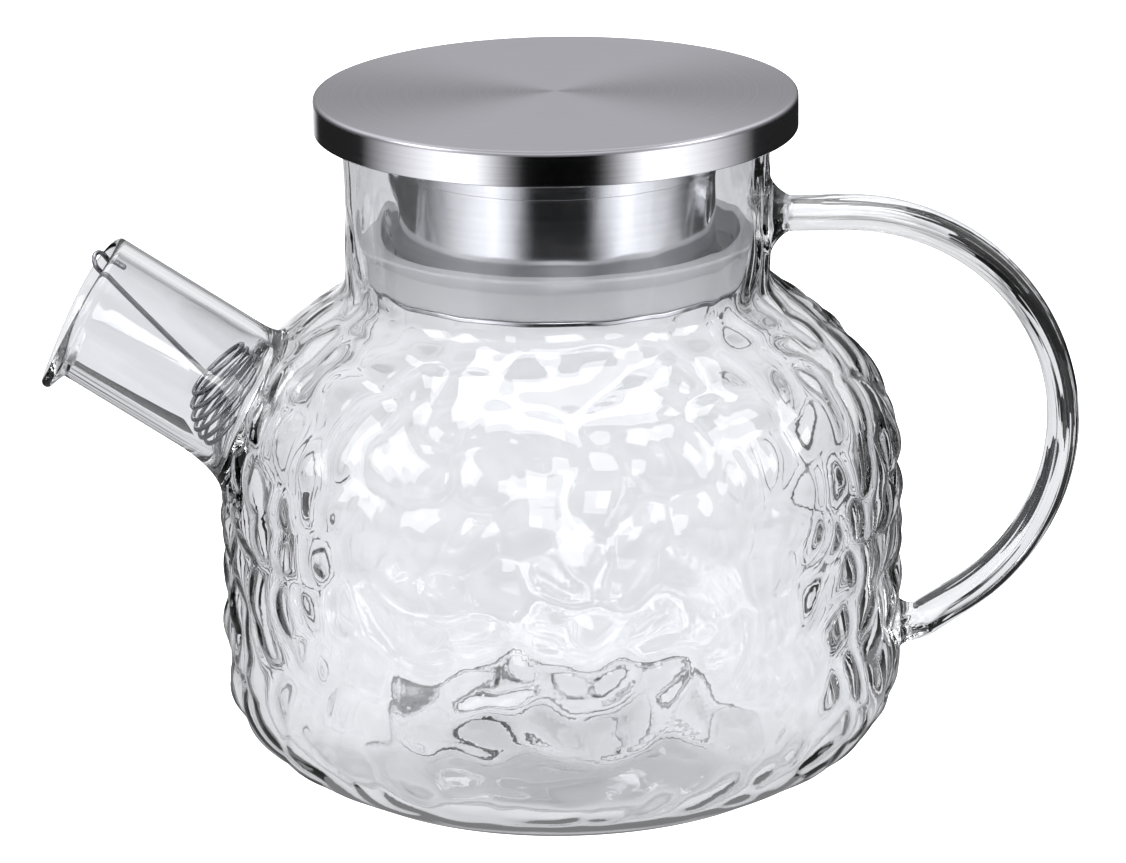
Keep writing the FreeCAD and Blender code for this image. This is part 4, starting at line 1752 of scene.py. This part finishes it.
@dataclass
class Seal:
    """The silicone seal: a block round the collar, grooved above, with a thin lip towards the neck."""

    inner_r: float = 32.35
    radius: float = 37.3
    lip_r: float = 39.35
    low_z: float = 102.45
    height: float = 8.9
    groove: float = 4.2
    skin_thick: float = 1.1
    lip_drop: float = 3.2
    lip_edge: float = 0.6
    edge: float = 0.28
    edge_shares: tuple[float, ...] = (1.0, 2.0, 1.0, 0.5, 0.5, 1.0, 1.0, 1.0)
    segments: int = 288

    def build(self, material: Material) -> None:
        """Makes the ring as a closed outline turned about Z.

        Args:
            material: The silicone.
        """
        top = self.low_z + self.height
        wall_r = self.radius - self.skin_thick
        corners = [
            (self.inner_r, self.low_z), (self.radius, self.low_z), (self.radius, top - self.lip_drop),
            (self.lip_r, top - self.lip_edge), (self.lip_r, top), (wall_r, top),
            (wall_r, top - self.groove), (self.inner_r, top - self.groove),
        ]
        outline = rounded(corners, [share * self.edge for share in self.edge_shares], True)
        grid = turned(np.concatenate([outline, outline[:1]]), round_angles(self.segments))
        skin = Skin()
        skin.add(grid)
        settle(skin.build("seal_silicone", [material]), "seal", "seal_ring")


@dataclass
class Strainer:
    """The wire strainer: a conical coil in the spout's root, a long leg and a hairpin over the lip."""

    frame: SpoutFrame = field(default_factory=SpoutFrame)
    wire_d: float = 1.0
    turns: int = 6
    pitch: float = 1.75
    top: float = 3.5
    small_r: float = 5.5
    big_r: float = 9.9
    lean: float = 3.8
    sag: float = 1.7
    start: float = 88.0
    shear: float = 17.0
    shear_end: float = 9.0
    leg_r: float = 11.65
    leg_bend_r: float = 1.6
    leg_start: float = 0.8
    near: float = 40.0
    far: float = 21.0
    foot: float = 31.9
    peak: float = 35.3
    hairpin_lean: float = 1.5
    hairpin_bend_r: float = 1.5
    hairpin_round: float = 0.47
    short_leg: float = 2.9
    coil_samples: int = 900
    station_step: float = 0.32
    sides: int = 16
    cap_rings: int = 4

    def coil(self, share: Array) -> Array:
        """The coil's middle line; share 0 is its small outer end and 1 its wide inner end.

        With swell = 1 - (1 - share)^2, its radius grows from small to big by the swell, its middle
        sinks from the lean to the sag, it turns back from the start angle, and each turn is sheared.

        Args:
            share: Places along the coil.

        Returns:
            Points, one per place.
        """
        swell = 1 - (1 - share) ** 2
        radius = self.small_r + (self.big_r - self.small_r) * swell
        angle = np.radians(self.start - 360 * self.turns * share)
        up = self.lean - (self.lean + self.sag) * swell + radius * np.cos(angle)
        shear = np.radians(self.shear + (self.shear_end - self.shear) * share)
        along = self.top - self.turns * self.pitch * share - up * np.tan(shear)
        frame = self.frame
        across = np.stack([along, up, radius * np.sin(angle)], axis=1)
        return frame.base + across @ np.stack([frame.along, frame.up, frame.front])

    def beside_bore(self, along: float, radius: float, degrees: float) -> Array:
        """A point round the axis, its angle counted from the top towards the front."""
        angle = TURN / 4 - math.radians(degrees)
        return self.frame.point(along, radius, np.array(angle))

    def route(self) -> Array:
        """The whole wire's middle line, from the coil's wide end to the hairpin's short leg.

        Returns:
            The points, evenly spread.
        """
        coil = self.coil(np.linspace(1.0, 0.0, self.coil_samples))
        way = unit(coil[-1] - coil[-2])
        peak_r = self.leg_r + self.hairpin_lean
        crown = [self.beside_bore(self.peak, peak_r, angle) for angle in (self.near, self.far)]
        crown_r = float(np.linalg.norm(crown[0] - crown[1])) * self.hairpin_round
        corners = [
            coil[-1], coil[-1] + way * (self.leg_bend_r + self.leg_start),
            self.beside_bore(self.foot, self.leg_r, self.near), *crown,
            self.beside_bore(self.foot, self.leg_r, self.far),
            self.beside_bore(self.foot - self.short_leg, self.leg_r, self.far),
        ]
        radii = (0.0, self.leg_bend_r, self.hairpin_bend_r, crown_r, crown_r, self.hairpin_bend_r, 0.0)
        return evenly(np.concatenate([coil, fillets(np.array(corners), radii)[1:]]), self.station_step)

    def build(self, material: Material) -> None:
        """Makes the wire: circles carried along the route without twist, closed by round ends.

        Args:
            material: The drawn wire.
        """
        line = self.route()
        way = unit(np.gradient(line, axis=0))
        side, over = carried_axes(way, self.frame.along)
        angle = round_angles(self.sides)[None, :, None]
        radius = self.wire_d / 2
        spokes = np.cos(angle) * side[:, None] + np.sin(angle) * over[:, None]
        turn = np.linspace(0.0, TURN / 4, self.cap_rings + 1)[:-1, None, None]
        first = line[0] - way[0] * radius * np.cos(turn) + spokes[0] * radius * np.sin(turn)
        last = line[-1] + way[-1] * radius * np.cos(turn) + spokes[-1] * radius * np.sin(turn)
        skin = Skin()
        skin.add(np.concatenate([first, line[:, None] + spokes * radius, last[::-1]]))
        settle(skin.build("strainer_wire", [material]), "strainer", "spout_strainer")


def fillets(corners: Array, radii: Sequence[float]) -> Array:
    """Straight runs whose inner corners are rounded by true arcs of the given radii.

    At a corner with directions a back and b onward, half its turn is (pi - angle between them) / 2, the
    arc's middle lies radius / cos(half turn) along a + b, and the arc is drawn from end to end about it.

    Args:
        corners: The corners in order, one per row.
        radii: Each corner's radius; the first and last aren't used.

    Returns:
        Points of the line, with both ends.
    """
    line = [corners[:1]]
    for before, corner, after, radius in zip(corners, corners[1:], corners[2:], radii[1:]):
        back, onward = unit(before - corner), unit(after - corner)
        half_turn = (math.pi - math.acos(float(np.clip(back @ onward, -1, 1)))) / 2
        middle = corner + unit(back + onward) * radius / math.cos(half_turn)
        swing = np.linspace(-half_turn, half_turn, FILLET_POINTS)[:, None]
        inward = unit(corner - middle)
        across = unit(onward - back)
        line.append(middle + radius * (np.cos(swing) * inward + np.sin(swing) * across))
    return np.concatenate([*line, corners[-1:]])


def carried_axes(way: Array, hint: Array) -> tuple[Array, Array]:
    """Two axes across a line at each station, carried along it so that they don't twist.

    Each station keeps what is left of the last side direction square to its own way.

    Args:
        way: The line's direction at each station.
        hint: A direction that gives the first side.

    Returns:
        The side and the over direction at each station.
    """
    side = np.empty_like(way)
    last = hint
    for station, ahead in enumerate(way):
        last = unit(last - (last @ ahead) * ahead)
        side[station] = last
    return side, np.cross(way, side)


class Laid(Enum):
    """How a card is put up."""

    UPRIGHT = "facing the front, at a depth y"
    FLAT = "level, at a height z"


@dataclass(frozen=True)
class Card:
    """A card in the studio: its outline, how and where it is put up (metres), and its finish."""

    outline: tuple[tuple[float, float], ...]
    laid: Laid
    place: float
    finish: BlackCard

    def corners(self) -> list[tuple[float, float, float]]:
        """The corners in space, with the place as their y or their z.

        Returns:
            The corners, in order.
        """
        if self.laid is Laid.UPRIGHT:
            return [(x, self.place, z) for x, z in self.outline]
        return [(x, y, self.place) for x, y in self.outline]


class SeenBy(Enum):
    """Who sees a sheet in the studio."""

    EYE = "the camera, and all else"
    PIECES = "only glass and steel"


def put_up(name: str, data: bpy.types.ID, place: Array, axes: Array) -> Object:
    """Puts a lamp or a camera into the scene.

    Args:
        name: Its name.
        data: The lamp or camera.
        place: Where it goes (metres).
        axes: Its right, up and back directions, one per column.

    Returns:
        The new object.
    """
    item = bpy.data.objects.new(name, data)
    item.matrix_world = Matrix.Translation(place.tolist()) @ Matrix(axes.tolist()).to_4x4()
    bpy.context.scene.collection.objects.link(item)
    return item


@dataclass(frozen=True)
class SoftBox:
    """A square soft box: its place and size (metres), its power (watts) and the pieces it is kept off."""

    name: str
    place: tuple[float, float, float]
    size: float
    power: float
    spared: tuple[str, ...] = ()

    def hang(self, aim: Array) -> None:
        """Hangs the box so that it faces a point, and keeps its light off the spared pieces.

        Args:
            aim: The point (metres).
        """
        lamp = bpy.data.lights.new(self.name, "AREA")
        lamp.size = self.size
        lamp.energy = self.power
        back = unit(np.array(self.place) - aim)
        right = unit(np.cross(NEARLY_LEVEL, back))
        axes = np.stack([right, np.cross(back, right), back], axis=1)
        hung = put_up(self.name, lamp, np.array(self.place), axes)
        if not self.spared:
            return
        group = bpy.data.collections.new(f"{self.name}_spares")
        for name in self.spared:
            group.objects.link(bpy.data.objects[name])
        for link in group.collection_objects:
            link.light_linking.link_state = "EXCLUDE"
        hung.light_linking.receiver_collection = group


@dataclass(frozen=True)
class RoomLight:
    """The room's own light: dim low down, bright above and fading overhead, with a paler rise for glass.

    Each range runs from one height to another (0 level, 1 overhead), and from one glow to another.
    """

    colour: str = "#f6f6f8"
    backdrop: str = "#fbfbfc"
    rise: tuple[float, ...] = (0.15, 0.7, 0.35, 1.7)
    crown: tuple[float, ...] = (0.65, 1.0, 1.0, 0.45)
    through: tuple[float, ...] = (0.0, 0.12, 0.5, 0.95)

    def build(self) -> None:
        """Makes the world: the camera sees an even backdrop, glass and steel see the room."""
        world = bpy.data.worlds.new("studio room")
        bpy.context.scene.world = world
        world.use_nodes = True
        tree = world.node_tree
        tree.nodes.clear()
        path = node(tree, "LightPath")
        where = node(tree, "TexCoord")
        split = node(tree, "SeparateXYZ", {0: where.outputs["Generated"]})
        rise, crown, through = (
            node(tree, "MapRange", {"Value": split.outputs["Z"], FROM + TO: limits},
                 interpolation_type="SMOOTHSTEP")
            for limits in (self.rise, self.crown, self.through))
        level = node(tree, "Math", {0: rise, 1: crown}, operation="MULTIPLY")
        glow = node(tree, "Mix", {
            0: path.outputs["Is Transmission Ray"], NUMBER_A: level, NUMBER_B: through}, data_type="FLOAT")
        room = node(tree, "Background", {"Color": linear(self.colour), "Strength": glow})
        pale = node(tree, "Background", {"Color": linear(self.backdrop), "Strength": 1.0})
        both = node(tree, "MixShader", {0: path.outputs["Is Camera Ray"], 1: room, 2: pale})
        node(tree, "OutputWorld", {"Surface": both})


@dataclass
class Studio:
    """A plain pale floor, soft light, sheets that only glass or steel shows, and the camera.

    Lengths here are in metres.
    """

    floor_half: float = 7.0
    floor_z: float = -0.0004
    paper_z: float = 0.0002
    aim: tuple[float, float, float] = (0.00053, 0.0, 0.06857)
    distance: float = 1.1
    elevation: float = 17.41
    roll: float = 0.839
    lens: float = 174.8
    sensor: float = 36.0
    sight: float = 100.0
    bounces: int = 32
    glass_bounces: int = 24
    steel_bounces: int = 10
    strip_y: float = 0.045
    strip_height: float = 0.1
    strip_sides: tuple[tuple[float, float], ...] = (
        (0.0765, 0.0815), (0.087, 0.0995), (0.109, 0.13), (0.146, 0.19))
    cards: tuple[Card, ...] = (
        Card(((-0.09, 0.012), (-0.15, 0.012), (-0.15, 0.046), (-0.09, 0.034)), Laid.UPRIGHT, place=0.08,
             finish=BlackCard("black card under the spout")),
        Card(((0.03, 0.022), (0.056, 0.022), (0.066, 0.036), (0.115, 0.04), (0.118, 0.1), (0.092, 0.096),
              (0.086, 0.078), (0.066, 0.066), (0.03, 0.046)), Laid.UPRIGHT, place=0.1,
             finish=BlackCard("black card behind the rod", Through.ROD)),
        Card(((0.08, 0.02), (0.13, 0.02), (0.19, 0.14), (0.16, 0.2), (0.125, 0.2), (0.115, 0.1),
              (0.103, 0.06), (0.085, 0.042)), Laid.FLAT, place=0.0006,
             finish=BlackCard("grey card beside the rod", Through.ROD, "#2c2c2e")),
    )
    boxes: tuple[SoftBox, ...] = (
        SoftBox("overhead_box", (0.0, 0.15, 1.5), size=1.3, power=24.0, spared=("lid_cap_steel",)),
        SoftBox("left_box", (-1.3, -0.5, 0.9), size=0.8, power=8.0),
        SoftBox("right_box", (1.3, -0.4, 0.9), size=0.7, power=7.0),
        SoftBox("front_box", (0.1, -1.7, 0.75), size=0.9, power=11.0,
                spared=("lid_cap_steel", "collar_steel")),
    )
    room: RoomLight = RoomLight()

    def strips(self) -> list[Card]:
        """Upright black strips beside the pot, which draw lines inside its edges.

        Returns:
            The strips as cards.
        """
        black = BlackCard("black strip beside the pot")
        high = self.strip_height
        return [
            Card(((left, 0.0), (right, 0.0), (right, high), (left, high)), Laid.UPRIGHT, self.strip_y, black)
            for left, right in self.strip_sides
        ]

    def sheet(self, name: str, corners: Sequence[Sequence[float]], finish: Finish, seen: SeenBy) -> None:
        """Puts a flat sheet on the stage.

        Args:
            name: Its name.
            corners: Its corners (x, y, z), in order.
            finish: Its finish.
            seen: Who sees it.
        """
        mesh = bpy.data.meshes.new(name)
        mesh.from_pydata([tuple(corner) for corner in corners], [], [tuple(range(len(corners)))])
        material = finish.material()
        material.cycles.emission_sampling = "NONE"
        mesh.materials.append(material)
        laid = bpy.data.objects.new(name, mesh)
        bpy.context.scene.collection.objects.link(laid)
        laid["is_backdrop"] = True
        if seen is SeenBy.PIECES:
            laid.visible_camera = False
            laid.visible_diffuse = False
            laid.visible_shadow = False

    def lay_sheets(self) -> None:
        """Lays the floor and the backlit paper, and sets up the cards."""
        half = self.floor_half
        whole = np.array([(-half, -half, 0.0), (half, -half, 0.0), (half, half, 0.0), (-half, half, 0.0)])
        lift = np.array([0.0, 0.0, 1.0])
        self.sheet("floor", whole + self.floor_z * lift, MattPaper("matt studio paper"), SeenBy.EYE)
        self.sheet("paper", whole + self.paper_z * lift, BacklitPaper("backlit studio paper"), SeenBy.PIECES)
        for number, card in enumerate([*self.cards, *self.strips()]):
            self.sheet(f"card_{number}", card.corners(), card.finish, SeenBy.PIECES)

    def hang_lights(self) -> None:
        """Hangs the soft boxes and sets the room's own light."""
        for box in self.boxes:
            box.hang(np.array(self.aim))
        self.room.build()

    def place_camera(self) -> None:
        """Places the camera: looking at the aim from the front, down by the elevation, with its roll."""
        lean, roll = math.radians(self.elevation), math.radians(self.roll)
        back = np.array([0.0, -math.cos(lean), math.sin(lean)])
        level = np.array([1.0, 0.0, 0.0])
        rise = np.array([0.0, math.sin(lean), math.cos(lean)])
        right = math.cos(roll) * level - math.sin(roll) * rise
        up = math.sin(roll) * level + math.cos(roll) * rise
        camera = bpy.data.cameras.new("camera")
        camera.lens = self.lens
        camera.sensor_width = self.sensor
        camera.clip_end = self.sight
        place = np.array(self.aim) + back * self.distance
        axes = np.stack([right, up, back], axis=1)
        bpy.context.scene.camera = put_up("camera", camera, place, axes)

    def set_paths(self) -> None:
        """Lets light through many layers of glass, and shows plain colours."""
        scene = bpy.context.scene
        scene.view_settings.view_transform = "Standard"
        scene.cycles.max_bounces = self.bounces
        scene.cycles.transmission_bounces = self.glass_bounces
        scene.cycles.transparent_max_bounces = self.bounces
        scene.cycles.glossy_bounces = self.steel_bounces
        scene.cycles.caustics_reflective = False
        scene.cycles.caustics_refractive = True


def main() -> None:
    """Loads the frame, builds and dresses each sub-assembly, logs each piece's points and faces, and sets up
    the studio.
    """
    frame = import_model()
    logging.basicConfig(level=logging.INFO, format="%(name)s %(message)s")
    glass = [BlownGlass("blown borosilicate glass").material(), FusedSeam("fused glass seam").material()]
    polished = PolishedSteel("polished stainless steel").material()
    pot, spout, handle = PotBody(), Spout(), Handle()
    pot.build(spout, handle, glass)
    spout.build(pot, glass)
    handle.build(pot, glass)
    Lid().build(SpunSteel("spun stainless steel").material(), polished)
    Collar().build(polished)
    Seal().build(MilkySilicone("moulded milky silicone").material())
    Strainer().build(DrawnWire("drawn stainless wire").material())
    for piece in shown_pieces():
        LOG.info("%s: %d points, %d faces", piece.name, len(piece.data.vertices), len(piece.data.polygons))
        # Clear glass lets the lamps' light through, so it throws no shadow.
        if piece.name.startswith(GLASS):
            piece.visible_shadow = False
    studio = Studio()
    studio.lay_sheets()
    studio.hang_lights()
    studio.place_camera()
    studio.set_paths()


if __name__ == "__main__":
    main()
